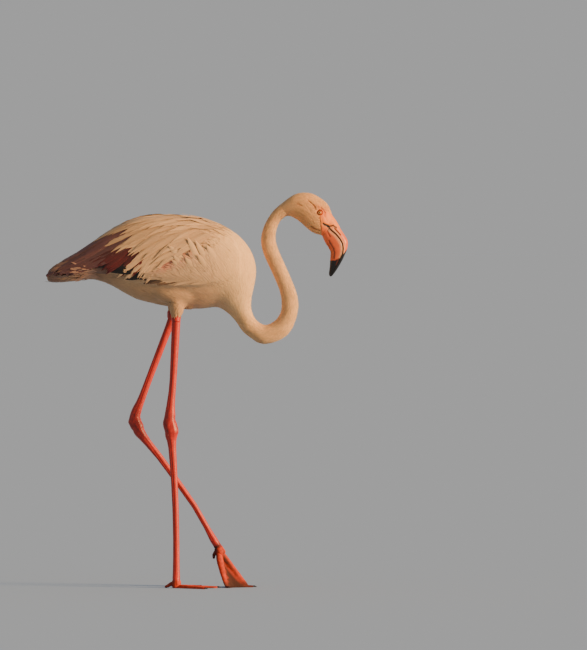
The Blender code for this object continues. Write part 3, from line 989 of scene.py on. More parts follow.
    def scatter(self, keep: Keep, spacing: float, seed: int) -> tuple[Array, Array]:
        """Spread feather roots evenly over a part of the skin.

        Args:
            keep: Tells which candidates may stay.
            spacing: Distance between roots.
            seed: Start of the random draws.

        Returns:
            The roots and the outward directions there.
        """
        rng = np.random.default_rng(seed)
        self.body.calc_loop_triangles()
        corners = np.empty(len(self.body.loop_triangles) * 3, dtype=np.int32)
        self.body.loop_triangles.foreach_get("vertices", corners)
        corners = corners.reshape(-1, 3)
        a, b, c = (self.points[corners[:, k]] for k in range(3))
        areas = np.linalg.norm(np.cross(b - a, c - a), axis=1) / 2
        chosen = keep((a + b + c) / 3, unit(self.normals[corners].sum(1)))
        corners, areas = corners[chosen], areas[chosen]
        count = int(self.CROWD * areas.sum() / spacing ** 2)
        picks = rng.choice(len(corners), size=count, p=areas / areas.sum())
        shares = rng.random((count, 2))
        over = shares.sum(1) > 1
        shares[over] = 1 - shares[over]
        weights = np.column_stack([1 - shares.sum(1), shares])[:, :, None]
        points = (self.points[corners[picks]] * weights).sum(1)
        normals = unit((self.normals[corners[picks]] * weights).sum(1))
        # One root stays in each cell of a grid, and then of a finer one that lies across it.
        for scale, offset in ((0.95, 0.0), (0.8, 0.5)):
            cells = np.floor(points / (spacing * scale) + offset).astype(int)
            _, first = np.unique(cells, axis=0, return_index=True)
            points, normals = points[first], normals[first]
        return points, normals

    def beside(self, x: float, z: float, side: float) -> tuple[Vector, Vector]:
        """Find a place in side view on the skin.

        Args:
            x: How far forward it is.
            z: Its height.
            side: 1 for the left side, -1 for the right.

        Returns:
            The skin's point and outward direction there.
        """
        hit = self.tree.ray_cast(Vector((x, side * 0.3, z)), Vector((0.0, -side, 0.0)))
        if hit[0] is None:
            hit = self.tree.find_nearest(Vector((x, side * 0.04, z)))
        return hit[0], hit[1]


class Legs:
    """Knobs and colours of the bare legs and of the webbed feet."""

    TOES = {"left": (-58.0, 0.0, 60.0), "right": (-41.0, 0.0, 45.0)}    # headings from above
    RIGHT_FLESH = 0.00128   # how much thicker than the solids the right foot's toes are
    # Height on the left foot, and how much thicker it is there than the solids.
    LEFT_FLESH = ((0.003, 0.010, 0.030, 0.055, 0.077, 0.084, 0.092, 0.100, 0.128),
                  (0.0, 0.0013, 0.0030, 0.0042, 0.0042, 0.0008, 0.0010, 0.0018, 0.0))
    # Midline of each leg: up, forward.
    AXES = {"right": ((0.016, 0.195, 0.340, 0.375, 0.610),
                      (-0.046, -0.048, -0.057, -0.059, -0.044)),
            "left": ((0.088, 0.172, 0.275, 0.359, 0.447, 0.606),
                     (0.043, -0.005, -0.078, -0.135, -0.106, -0.049))}
    FOOT_SIDE, HIP_SIDE, HIP_UP = {"left": 0.029, "right": -0.007}, 0.030, 0.61
    # Side, middle, reach, height of each knob or hollow of the ankles.
    KNOBS = (
        ("right", (-0.045, 0.3385), (0.0090, 0.0110), 0.0026),
        ("right", (-0.070, 0.3560), (0.0080, 0.0100), 0.0020),
        ("right", (-0.046, 0.3630), (0.0060, 0.0070), -0.0020),
        ("right", (-0.071, 0.3360), (0.0070, 0.0090), -0.0020),
        ("right", (-0.059, 0.3480), (0.0035, 0.0100), -0.0012),
        ("left", (-0.1500, 0.3550), (0.0080, 0.0080), 0.0026),
        ("left", (-0.1240, 0.3690), (0.0060, 0.0070), -0.0018),
        ("left", (-0.1210, 0.3500), (0.0070, 0.0070), 0.0018),
        ("left", (-0.1420, 0.3360), (0.0070, 0.0060), -0.0016),
        ("left", (-0.1360, 0.3560), (0.0040, 0.0080), -0.0010),
    )
    ANKLE = 0.352           # height of the ankles
    FURROW_TURN, FURROW_WIDTH, FURROW_DEPTH = 112, 13, 0.0007
    # Turn round the leg, width and strength of the dark lines along it: painted shade in its
    # grooves.
    STRIPES = ((-112, 11, 0.80), (-72, 6, 0.35), (-150, 9, 0.5),
               (112, 11, 0.80), (72, 6, 0.35), (150, 9, 0.5))
    JOINT_PATCH = ((0.0435, 0.0895), (0.0150, 0.0070), 27)      # dark patch over the left foot's joint

    def __init__(self, hem: float) -> None:
        """Keep the height where the thighs' feathers end."""
        self.hem = hem
        self.radius: dict[str, float] = {}

    def shaped(self, mesh: Mesh) -> Mesh:
        """Give the legs their knobs, furrows and colours.

        Args:
            mesh: The wrapped legs.

        Returns:
            The same mesh.
        """
        points, normals = rows_of(mesh.vertices, "co"), rows_of(mesh.vertex_normals, "vector")
        for side in SIDES:
            forward, across, mine = self._offsets(points, side)
            ring = mine & (points[:, 2] > 0.562) & (points[:, 2] < 0.570)
            self.radius[side] = float(np.hypot(forward, across)[ring].max())
        points = self.tapered(points, 0.0)
        for side, middle, reach, height in self.KNOBS:
            on_leg = points[:, 1] * SIDES[side] > 0.001
            points = points + normals * (height * patch(points, middle, reach) * on_leg)[:, None]
        turn = self._turn(points)
        furrow = sum(np.exp(-((turn - middle) / self.FURROW_WIDTH) ** 2)
                     for middle in (-self.FURROW_TURN, self.FURROW_TURN))
        furrow *= (points[:, 2] > 0.10) & (np.abs(points[:, 2] - self.ANKLE) > 0.03)
        points = points - normals * (self.FURROW_DEPTH * furrow)[:, None]
        points = points + normals * self._flesh(points)[:, None]
        mesh.vertices.foreach_set("co", points.ravel())
        mesh.update()
        paint(mesh, self._colours(points, turn))
        return mesh

    def _flesh(self, points: Array) -> Array:
        """Measure how much thicker than the solids the feet are.

        Args:
            points: Points on the legs.

        Returns:
            The thickness to add at each point.
        """
        rise = points[:, 2]
        on_foot, away, _ = self._foot(points, "right")
        flesh = (self.RIGHT_FLESH * smoothstep(0.003, 0.010, rise)
                 * on_foot * (1 - smoothstep(0.0034, 0.0062, away)))
        on_foot, away, ahead = self._foot(points, "left")
        toes = (1 - smoothstep(0.0034, 0.0062, away)) * smoothstep(-0.008, -0.002, ahead)
        palm = smoothstep(0.044, 0.062, rise) * smoothstep(-0.007, 0.0, ahead)
        forward = points[:, 0] - np.interp(rise, *self.AXES["left"])
        shin = (np.abs(forward) < 0.018) & (points[:, 0] > 0.0) & (rise > 0.080)
        height = np.interp(rise, *self.LEFT_FLESH)
        return np.maximum(flesh, height * np.maximum(on_foot * np.maximum(toes, palm), shin))

    def tapered(self, points: Array, outset: float) -> Array:
        """Draw points in to the leg's thickness from the thighs' hem down.

        Args:
            points: Points on the thighs and on the legs' ends inside them.
            outset: How far outside the bare leg they stay.

        Returns:
            The moved points.
        """
        points = points.copy()
        for side in SIDES:
            forward, across, mine = self._offsets(points, side)
            on_thigh = mine & (points[:, 2] > 0.570) & (points[:, 2] < self.hem + 0.030)
            on_thigh &= np.abs(forward) < 0.030
            reach = np.hypot(forward, across)
            rise = np.clip(points[:, 2] - self.hem - 0.002, 0.0, None)
            limit = self.radius[side] + outset + (1.2 * rise if outset else 0.0)
            scale = np.where(on_thigh, np.minimum(1.0, limit / np.maximum(reach, 1e-6)), 1.0)
            points[:, 0] -= forward * (1 - scale)
            points[:, 1] -= across * (1 - scale)
        return points

    def _offsets(self, points: Array, side: str) -> tuple[Array, ...]:
        """Measure where points are round a leg.

        Args:
            points: Points on the legs.
            side: The leg's side.

        Returns:
            How far they are before and beside its midline, and which of them are its own.
        """
        forward = points[:, 0] - np.interp(points[:, 2], *self.AXES[side])
        across = points[:, 1] - np.interp(points[:, 2], [0.0, self.HIP_UP],
                                          [self.FOOT_SIDE[side], self.HIP_SIDE * SIDES[side]])
        return forward, across, points[:, 1] * SIDES[side] > 0

    def _turn(self, points: Array) -> Array:
        """Measure the turn round the leg.

        Args:
            points: Points on the legs.

        Returns:
            Degrees for each, 0 in front and negative to the right.
        """
        turn = np.zeros(len(points))
        for side in SIDES:
            forward, across, mine = self._offsets(points, side)
            turn = np.where(mine, np.degrees(np.arctan2(across, forward)), turn)
        return turn

    def _foot(self, points: Array, side: str) -> tuple[Array, ...]:
        """Tell where points are on a foot.

        Args:
            points: Points on the legs.
            side: The foot's side.

        Returns:
            Whether each is on the foot, how far it is from the toes' midlines, and how far
            it is ahead of where they meet, all seen from above.
        """
        low, high = np.array(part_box(f"foot_{side}"))
        on_foot = (np.all((points[:, :2] > low[:2] - 0.002) & (points[:, :2] < high[:2] + 0.002),
                          axis=1) & (points[:, 2] < high[2] - 0.003))
        shin_low, shin_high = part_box(f"tarsus_{side}")
        forward = {"left": shin_high[0] - 0.0065,
                   "right": (shin_low[0] + shin_high[0]) / 2 + 0.002}[side]
        offset = points[:, :2] - np.array([forward, node_middle(f"claw_middle_{side}").y])
        away = np.full(len(points), 1.0)
        for angle in self.TOES[side]:
            heading = side_way(angle)[[0, 2]]
            along = np.clip(offset @ heading, 0.0, None)
            away = np.minimum(away, np.linalg.norm(offset - along[:, None] * heading, axis=1))
        return on_foot, away, offset[:, 0]

    def dull(self, points: Array) -> Array:
        """Tell which places are on the feet, where the skin is dull."""
        return np.any([self._foot(points, side)[0] for side in SIDES], axis=0)

    def _colours(self, points: Array, turn: Array) -> Array:
        """Colour the legs.

        Args:
            points: Points on the legs.
            turn: Their turn round the leg.

        Returns:
            A colour for each point.
        """
        colours = np.tile(Hue.CORAL, (len(points), 1))
        wander = 8 * np.sin(points[:, 2] * 31)
        # Dark lines along the legs: painted shade in their grooves.
        for middle, width, share in self.STRIPES:
            line = np.exp(-((turn - middle - wander) / width) ** 2)
            colours = blend(colours, Hue.GROOVE, share * line * (points[:, 2] > 0.03))
        spots = spotted(points * np.array([1, 1, 0.3]), 0.004, 0.0, 0.5, 1.3)
        colours = blend(colours, Hue.GROOVE, 0.25 * spots)
        ankle = 1 - smoothstep(0.010, 0.034, np.abs(points[:, 2] - self.ANKLE))
        pits = spotted(points, 0.006, 3.0, 0.4, 1.6)
        colours = blend(colours, Hue.GROOVE, 0.55 * ankle * pits)
        # Each foot is darker behind its joint, the left one also over its joint and at its lowest
        # part.
        for side, heel_dark in (("left", 0.9), ("right", 0.5)):
            on_foot, away, ahead = self._foot(points, side)
            web = smoothstep(0.0046, 0.0084, away) * on_foot * smoothstep(0.004, 0.012, ahead)
            heel = on_foot * (1 - smoothstep(0.0, 0.006, ahead + 0.004))
            ends = on_foot * (1 - smoothstep(0.006, 0.020, points[:, 2])) * (side == "left")
            colours = layered(
                colours, (Hue.FOOT, 0.85 * on_foot), (Hue.WEB, 0.35 * on_foot * pits),
                (Hue.WEB, 0.97 * web), (Hue.WEB, heel_dark * heel),
                (Hue.WEB, 0.85 * (side == "left") * patch(points, *self.JOINT_PATCH)),
                (Hue.WEB, 0.85 * ends))
        return colours


# --- the feathers


class VaneShape(Enum):
    """Half width of a vane at even steps from its root to its tip."""

    TUFT = (0.45, 0.80, 1.00, 0.85, 0.50, 0.05)
    LANCE = (0.35, 0.62, 0.85, 0.98, 1.00, 0.90, 0.62, 0.28, 0.03)
    FLIGHT = (0.45, 0.80, 1.00, 1.00, 0.97, 0.90, 0.72, 0.30)
    PLUME = (0.40, 0.68, 0.88, 0.98, 1.00, 0.90, 0.60, 0.08)


class Section(Enum):
    """Places round a vane's section: across from -1 to 1, and up from -1 to 1."""

    SLIM = ((-1, 0), (0, 1), (1, 0), (0, -0.6))
    SHAFTED = ((-1, 0), (-0.6, 0.7), (-0.14, 0.9), (0, 1.5), (0.14, 0.9), (0.6, 0.7),
               (1, 0), (0, -0.5))


# Places on the body and the way the feathers point there, in degrees up from straight ahead.
LIE = np.array((
    (0.113, 0.722, 103), (0.098, 0.672, 106), (0.092, 0.770, 136), (0.060, 0.790, 157),
    (0.000, 0.800, 172), (-0.070, 0.800, 184), (-0.130, 0.785, 198), (-0.190, 0.755, 208),
    (-0.260, 0.705, 205), (0.062, 0.740, 148), (0.052, 0.690, 126), (0.045, 0.650, 122),
    (0.000, 0.742, 172), (0.000, 0.690, 138), (0.000, 0.640, 142), (-0.060, 0.745, 196),
    (-0.060, 0.690, 180), (-0.060, 0.640, 160), (-0.130, 0.720, 212), (-0.130, 0.660, 176),
    (-0.130, 0.630, 164), (-0.200, 0.700, 205), (-0.200, 0.660, 170), (-0.280, 0.680, 188),
    (0.075, 0.610, 116)))


def lie_of_body(points: Array) -> Array:
    """Find the lie of the feathers over the body's sides.

    Args:
        points: Points on the body.

    Returns:
        The way that feathers point at each.
    """
    gap = points[:, None, [0, 2]] - LIE[None, :, :2]
    weight = 1 / ((gap ** 2).sum(-1) + 1e-5) ** 1.5
    return unit(weight @ np.array([side_way(angle) for angle in LIE[:, 2]]))


@dataclass
class Coat:
    """A joined mesh of many vanes that lie over the skin."""

    name: str
    skin: Skin
    slot: str                       # the name of a slot for its finish
    seed: int
    finish: Finish = DOWN
    shape: VaneShape = VaneShape.TUFT
    section: Section = Section.SLIM
    steps: int = 3
    lift: tuple[float, float] = (0.0003, 0.0016)    # height of a vane's root and tip
    thickness: float = 0.0005
    camber: float = 0.05
    stiffness: float = 0.0
    # Painted shade: how dark a vane's root is where the next vanes lie over it; real bases are a
    # little greyer too.
    root_shade: float = 0.93
    edge_shade: float = 0.04        # painted shade between vanes: how much darker a vane's edges are than its shaft
    vary: float = 0.03              # how much single vanes differ in shade
    frayed: float = 0.04
    silk: float = 0.8               # how far the shading follows the body, not each vane
    round: float = 0.25             # how much the shading rounds each vane

    REACH: ClassVar[float] = 0.006          # a vane's next point is laid on skin this near
    THINNING: ClassVar[float] = 0.55        # share of its thickness that a vane's tip loses
    RISE: ClassVar[float] = 1.3             # how late along a vane its tip rises
    FADE: ClassVar[float] = 1.2             # how late along a vane its root's painted shade ends
    MAP_EDGE: ClassVar[float] = 0.02        # free margin of the map for baking
    MAP_VANE: ClassVar[float] = 0.003       # size of one vane on that map

    def __post_init__(self) -> None:
        """Start with no vanes."""
        self.parts: list[dict[str, Array]] = []

    def _march(self, root: Vector, normal: Vector, heading: Vector, length: float,
               droop: float, curl: float) -> tuple[list[Vector], list[Vector]]:
        """Lay one vane's midline over the skin.

        Args:
            root: Where it grows.
            normal: The skin's outward direction there.
            heading: The way it points.
            length: Its length.
            droop: How much it bends down along its length.
            curl: How far its last third leaves the skin, as a slope.

        Returns:
            Its points and the outward directions at them.
        """
        step = length / self.steps
        spot, out, ahead = Vector(root), Vector(normal), Vector(heading)
        path, outs = [], []
        for number in range(self.steps + 1):
            path.append(spot.copy())
            outs.append(out.copy())
            ahead.z -= droop / self.steps
            ahead = (ahead - out * ahead.dot(out)).normalized()
            leaves = curl > 0 and 3 * number >= 2 * self.steps
            onto = spot + ahead * step
            if leaves:
                onto += out * (step * curl * number / self.steps)
            near, near_out, _, distance = self.skin.tree.find_nearest(onto)
            if distance < self.REACH and not leaves:
                onto = near.lerp(onto, self.stiffness)
                out = out.lerp(near_out, 0.5 - 0.4 * self.stiffness).normalized()
            ahead = (onto - spot).normalized()
            spot = onto
        return path, outs

    def grow(self, roots: Array, normals: Array, headings: Array,
             lengths: Array, half_widths: Array, tints: Array,
             droop: float = 0.0, raised: float | Array = 1.0, curl: float = 0.0,
             roll: float | Array = 0.0) -> None:
        """Add vanes.

        Args:
            roots: Where they grow.
            normals: The skin's outward directions there.
            headings: The ways they point.
            lengths: Their lengths.
            half_widths: Their greatest half widths.
            tints: Their colours.
            droop: How much they bend down along their length.
            raised: How much higher than the coat's lift their tips stand.
            curl: How far they leave the skin, as a slope.
            roll: How much one edge stands higher than the other, as a slope.
        """
        count = len(roots)
        paths = np.empty((count, self.steps + 1, 3))
        outs = np.empty_like(paths)
        for index in range(count):
            paths[index], outs[index] = self._march(
                Vector(roots[index]), Vector(normals[index]), Vector(headings[index]),
                float(lengths[index]), droop, curl)
        self.parts.append({
            "roots": np.asarray(roots), "normals": np.asarray(normals), "paths": paths,
            "outs": outs, "widths": np.asarray(half_widths), "tints": np.asarray(tints),
            "raised": np.broadcast_to(raised, count), "lengths": np.asarray(lengths),
            "roll": np.broadcast_to(roll, count)})

    def build(self) -> None:
        """Join the vanes into one piece."""
        rng = np.random.default_rng(self.seed)
        whole = {key: np.concatenate([part[key] for part in self.parts])
                 for key in self.parts[0]}
        paths, outs = whole["paths"], whole["outs"]
        count, rows = paths.shape[:2]
        spread, rise = np.array(self.section.value, dtype=float).T
        sides = len(spread)
        along = np.linspace(0.0, 1.0, rows)
        form = np.interp(along, np.linspace(0, 1, len(self.shape.value)), self.shape.value)
        ahead = unit(np.gradient(paths, axis=1))
        across = unit(np.cross(outs, ahead))
        upward = np.cross(ahead, across)
        low, high = self.lift
        raised, roll = whole["raised"][:, None], whole["roll"][:, None, None]
        lift = low * np.minimum(raised, 1.0) + (high - low) * along[None] ** self.RISE * raised
        widths = whole["widths"][:, None] * form[None]
        widths = widths * (1 + self.frayed * rng.standard_normal((count, rows)))
        thick = (self.thickness * (1 - self.THINNING * along)[None, :, None]
                 * rise[None, None])
        height = (lift[..., None] + thick
                  + widths[..., None] * (np.abs(roll) + roll * spread
                                         - self.camber * spread ** 2))
        points = (paths[:, :, None] + upward[:, :, None] * height[..., None]
                  + across[:, :, None] * (widths[..., None] * spread[None, None])[..., None])
        # Painted shade: vanes darken towards their roots under the next vanes and towards their
        # edges; single vanes also differ at random.
        shade = self.root_shade + (1 - self.root_shade) * along ** self.FADE
        edge = 1 - self.edge_shade * np.abs(spread)
        random = 1 + self.vary * rng.standard_normal(count)
        tints = (whole["tints"][:, None, None] * shade[None, :, None, None]
                 * edge[None, None, :, None] * random[:, None, None, None])

        faces = self._faces(np.arange(count * rows * sides).reshape(count, rows, sides))
        mesh = bpy.data.meshes.new(self.name)
        mesh.vertices.add(count * rows * sides)
        mesh.vertices.foreach_set("co", points.ravel())
        mesh.loops.add(faces.size)
        mesh.loops.foreach_set("vertex_index", faces.ravel())
        mesh.polygons.add(len(faces))
        mesh.polygons.foreach_set("loop_start", np.arange(0, faces.size, 4))
        mesh.polygons.foreach_set("loop_total", np.full(len(faces), 4))
        mesh.update(calc_edges=True)
        mesh.validate()
        piece = linked(self.name, mesh)
        smooth = outs * self.silk + upward * (1 - self.silk)
        facing = (smooth[:, :, None] * np.sign(rise + 0.01)[None, None, :, None]
                  + across[:, :, None] * (self.round * spread)[None, None, :, None])
        mesh.normals_split_custom_set_from_vertices(unit(facing).reshape(-1, 3).tolist())
        paint(mesh, tints.reshape(-1, 3))
        located = self.skin.spine.locate(whole["roots"], whole["normals"])
        middle = np.column_stack([located["place"] / self.skin.spine.length,
                                  located["turn"] + 0.5])[:, None, None]
        local = np.stack(np.broadcast_arrays(spread / 2, (along - 0.5)[:, None]), -1)
        self._map(mesh, "OFBake", faces, self.MAP_EDGE + (1 - 2 * self.MAP_EDGE) * middle
                  + self.MAP_VANE * local)
        self._map(mesh, "Vane", faces, np.stack(np.broadcast_arrays(
            whole["widths"][:, None, None] * spread,
            whole["lengths"][:, None, None] * along[:, None]), -1))
        dress(piece, [self.finish])

    @staticmethod
    def _faces(vertex: Array) -> Array:
        """List the corners of the vanes' walls and ends.

        Args:
            vertex: The vertices' numbers by vane, row and side.

        Returns:
            Four numbers for each face.
        """
        rows, sides = vertex.shape[1:]
        nxt = np.roll(vertex, -1, axis=2)
        quads = np.stack([vertex[:, :-1], vertex[:, 1:], nxt[:, 1:], nxt[:, :-1]], axis=-1)
        caps = []
        for row, turn in ((0, 1), (rows - 1, -1)):
            ring = vertex[:, row]
            for k in range(sides // 2 - 1):
                cap = np.stack([ring[:, k], ring[:, k + 1], ring[:, -2 - k], ring[:, -1 - k]], -1)
                caps.append(cap[:, ::turn])
        return np.concatenate([quads.reshape(-1, 4)] + caps)

    @staticmethod
    def _map(mesh: Mesh, name: str, faces: Array, places: Array) -> None:
        """Add a map from a place for each vertex."""
        layer = mesh.uv_layers.new(name=name)
        layer.data.foreach_set("uv", places.reshape(-1, 2)[faces.ravel()].ravel())


@dataclass
class Growth:
    """How the feathers of a coat that is spread over a region grow."""

    keep: Keep
    length: Callable[[dict[str, Array], Array], Array | float]
    spacing: float
    slender: float = 0.115          # half width over length
    unruly: float = 0.10            # how much single feathers stray from the lie
    shades: float = 0.02            # how much single feathers differ in shade
    droop: float = 0.0
    overlap: float = 0.0            # slope that lays the lower edge over the next feather
    raised: Callable[[Array], Array | float] = lambda points: 1.0


class DownCoats:
    """The feathers that cover the body, neck, head and thighs all over."""

    CLUMP = 0.016       # size of the groups of feathers that stray the same way
    CLUMP_SEED = 7      # start of the groups' random draws
    # Forward, and the lowest and highest root of the loose feathers on the flank there.
    FLANK = ((-0.10, -0.05, 0.00, 0.06, 0.085), (0.652, 0.646, 0.642, 0.640, 0.640),
             (0.668, 0.688, 0.704, 0.742, 0.754))
    # Forward, and the lowest root of the mantle's feathers there.
    MANTLE = ((-0.13, -0.05, 0.03, 0.08), (0.755, 0.735, 0.738, 0.760))

    def __init__(self, skin: Skin) -> None:
        """Keep the skin that they grow on."""
        self.skin, self.spine, self.markings = skin, skin.spine, skin.markings

    def _lie(self, points: Array, normals: Array, located: dict[str, Array],
             rng: np.random.Generator, unruly: float) -> Array:
        """Choose the way each feather points.

        Args:
            points: Their roots.
            normals: The skin's outward directions.
            located: Where they are along the spine.
            rng: Random draws.
            unruly: How much single feathers stray from the lie.

        Returns:
            Their headings along the skin.
        """
        root = self.spine.neck_root
        body = (1 - smoothstep(root - 0.06, root, located["place"]))[:, None]
        heading = -located["heading"] * (1 - body) + lie_of_body(points) * body
        thigh = self.skin.thigh_share(points)[:, None]
        heading = heading * (1 - thigh) + np.array([-0.15, 0.0, -1.0]) * thigh
        clump = np.array([noise.noise_vector(Vector(point) / self.CLUMP) for point in points])
        heading += 1.6 * unruly * clump + unruly * rng.standard_normal(heading.shape)
        heading -= normals * (heading * normals).sum(1)[:, None]
        return unit(heading)

    def _cover(self, coat: Coat, growth: Growth) -> None:
        """Cover a region.

        Args:
            coat: The coat, still without vanes.
            growth: Where and how its feathers grow.
        """
        roots, normals = self.skin.scatter(growth.keep, growth.spacing, coat.seed)
        located = self.spine.locate(roots, normals)
        rng = np.random.default_rng(coat.seed + 100)
        headings = self._lie(roots, normals, located, rng, growth.unruly)
        lengths = growth.length(located, roots) * rng.uniform(0.85, 1.15, len(roots))
        tints = self.markings.plumage(roots, located)
        tints *= 1 + growth.shades * (rng.standard_normal(len(roots))
                                      + 2 * mottle(roots, self.CLUMP, 7.0))[:, None]
        roll = -growth.overlap * np.clip(roots[:, 1] / 0.035, -1.0, 1.0)
        coat.grow(roots, normals, headings, lengths, lengths * growth.slender, tints,
                  growth.droop, growth.raised(roots), roll=roll)
        coat.build()

    def _region(self, start: float, stop: float) -> Keep:
        """Choose the feathered skin between two places along the spine.

        Args:
            start: The first place.
            stop: The last place.

        Returns:
            The test for roots.
        """
        def keep(points: Array, normals: Array) -> Array:
            """Leave out the bare face, the tail's quills and the thighs' lower part."""
            place = self.spine.locate(points, normals)["place"]
            bare = (self.skin.face.bare(points) > 0.5) & (place > self.spine.nape)
            quills = (points[:, 0] < -0.155) & (points[:, 2] > 0.684) & (normals[:, 2] > -0.3)
            low = (points[:, 2] < 0.608) & (self.skin.thigh_share(points) > 0.3)
            return (place >= start) & (place < stop) & ~bare & ~quills & ~low
        return keep

    def _thighs(self, points: Array, normals: Array) -> Array:
        """Tell which places carry the short feathers of the thighs."""
        return ((self.skin.thigh_share(points) > 0.05) & (points[:, 2] < 0.618)
                & (points[:, 2] > self.skin.HEM + 0.005) & (normals[:, 2] < 0.9))

    def _flank_edges(self, points: Array) -> list[Array]:
        """Find the heights of the flank's lower and upper edges at each point."""
        return [np.interp(points[:, 0], self.FLANK[0], edge) for edge in self.FLANK[1:]]

    def _flank(self, points: Array, normals: Array) -> Array:
        """Tell which places carry the loose feathers that hide the wing's front edge."""
        low, high = self._flank_edges(points)
        return ((points[:, 0] > -0.098) & (points[:, 0] < 0.088) & (points[:, 2] < high)
                & (points[:, 2] > low) & (np.abs(normals[:, 1]) > 0.3))

    def _flank_rise(self, points: Array) -> Array:
        """Choose how high the loose feathers stand: least at their lower and front edges.

        Args:
            points: Their roots.

        Returns:
            How much of the coat's lift each has.
        """
        low, high = self._flank_edges(points)
        inside = smoothstep(0.0, 0.024, points[:, 2] - low)
        front = smoothstep(0.050, 0.086, points[:, 0])
        upper = (1 - smoothstep(0.0, 0.020, high - points[:, 2])) * smoothstep(
            0.005, 0.030, points[:, 0])
        return 0.12 + 0.88 * inside * (1 - 0.9 * front) * (1 - 0.85 * upper)

    @staticmethod
    def _rump(points: Array, normals: Array) -> Array:
        """Tell which places carry the soft feathers round the tail."""
        return (points[:, 0] < -0.262) | ((points[:, 0] < -0.200) & (points[:, 2] < 0.700))

    def _mantle(self, points: Array, normals: Array) -> Array:
        """Tell which places carry the long feathers of the mantle."""
        low = np.interp(points[:, 0], *self.MANTLE)
        return ((points[:, 0] > -0.125) & (points[:, 0] < 0.075) & (points[:, 2] > low)
                & (normals[:, 2] > -0.2))

    def build(self) -> None:
        """Build every coat that is spread over a region."""
        noise.seed_set(self.CLUMP_SEED)
        skin, fine = self.skin, 0.0004
        root, nape, end = self.spine.neck_root, self.spine.nape, self.spine.length
        half = root - 0.17

        def body_length(located: dict[str, Array], _: Array) -> Array:
            """Shorten the feathers towards the neck."""
            return 0.022 - 0.010 * smoothstep(root - 0.12, root + 0.02, located["place"])

        self._cover(Coat("coat_back", skin, "plumage", 11, lift=(0.0004, 0.0011),
                         thickness=fine),
                    Growth(self._region(0.05, half), body_length, 0.0041, unruly=0.11))
        self._cover(Coat("coat_breast", skin, "plumage", 12, lift=(0.0003, 0.0008),
                         thickness=fine),
                    Growth(self._region(half, root + 0.01), body_length, 0.0037))
        self._cover(Coat("coat_thighs", skin, "plumage", 17, lift=(0.0006, 0.0016),
                         thickness=fine),
                    Growth(self._thighs, lambda *_: 0.0115, 0.0030, slender=0.16, unruly=0.08))
        self._cover(Coat("coat_flank", skin, "plumage", 16, shape=VaneShape.PLUME, steps=4,
                         lift=(0.0036, 0.0048), thickness=fine, camber=0.06),
                    Growth(self._flank, lambda *_: 0.027, 0.0038, slender=0.085, unruly=0.09,
                           raised=self._flank_rise))
        self._cover(Coat("coat_rump", skin, "tail_plumage", 18, shape=VaneShape.PLUME, steps=4,
                         lift=(0.0010, 0.0026), thickness=fine, camber=0.06),
                    Growth(self._rump, lambda _, points: np.interp(
                        points[:, 0], [-0.318, -0.270], [0.012, 0.028]),
                        0.0036, slender=0.085, unruly=0.12, shades=0.03))
        self._cover(Coat("coat_neck", skin, "neck_plumage", 13, VELVET, lift=(0.0001, 0.0010),
                         camber=0.1),
                    Growth(self._region(root - 0.005, nape + 0.005), lambda located, _: np.interp(
                        located["place"], [root, nape], [0.0110, 0.0080]),
                        0.0027, slender=0.17, unruly=0.16, shades=0.065))
        self._cover(Coat("coat_head", skin, "neck_plumage", 14, VELVET, lift=(0.0, 0.0006),
                         thickness=0.0003, camber=0.1),
                    Growth(self._region(nape - 0.002, end + 1), lambda located, _: np.interp(
                        located["place"], [nape, end], [0.0066, 0.0036]),
                        0.0019, slender=0.18, unruly=0.12, shades=0.03))
        # The mantle's darker roots and edges are painted shade between its vanes.
        self._cover(Coat("coat_mantle", skin, "wing_plumage", 15, VANES, VaneShape.LANCE,
                         Section.SHAFTED, 10, (0.0008, 0.0026), camber=0.06, stiffness=0.1,
                         root_shade=0.70, edge_shade=0.12, vary=0.07),
                    Growth(self._mantle, lambda _, points: np.interp(
                        points[:, 0], [-0.13, -0.05, 0.02, 0.08], [0.092, 0.080, 0.050, 0.028]),
                        0.0125, slender=0.085, unruly=0.05, droop=0.10, overlap=0.10))


@dataclass
class Tract:
    """A fan of long feathers on the side of the body, from one end of a line to the other."""

    roots: tuple[Place, Place]
    tips: tuple[Place, Place]
    count: int
    half_width: float
    tint: tuple[Array, Array]
    droop: float = 0.15
    raised: float = 1.0
    share: float = 1.0              # how much of the way from root to tip it covers
    jitter: float = 0.004


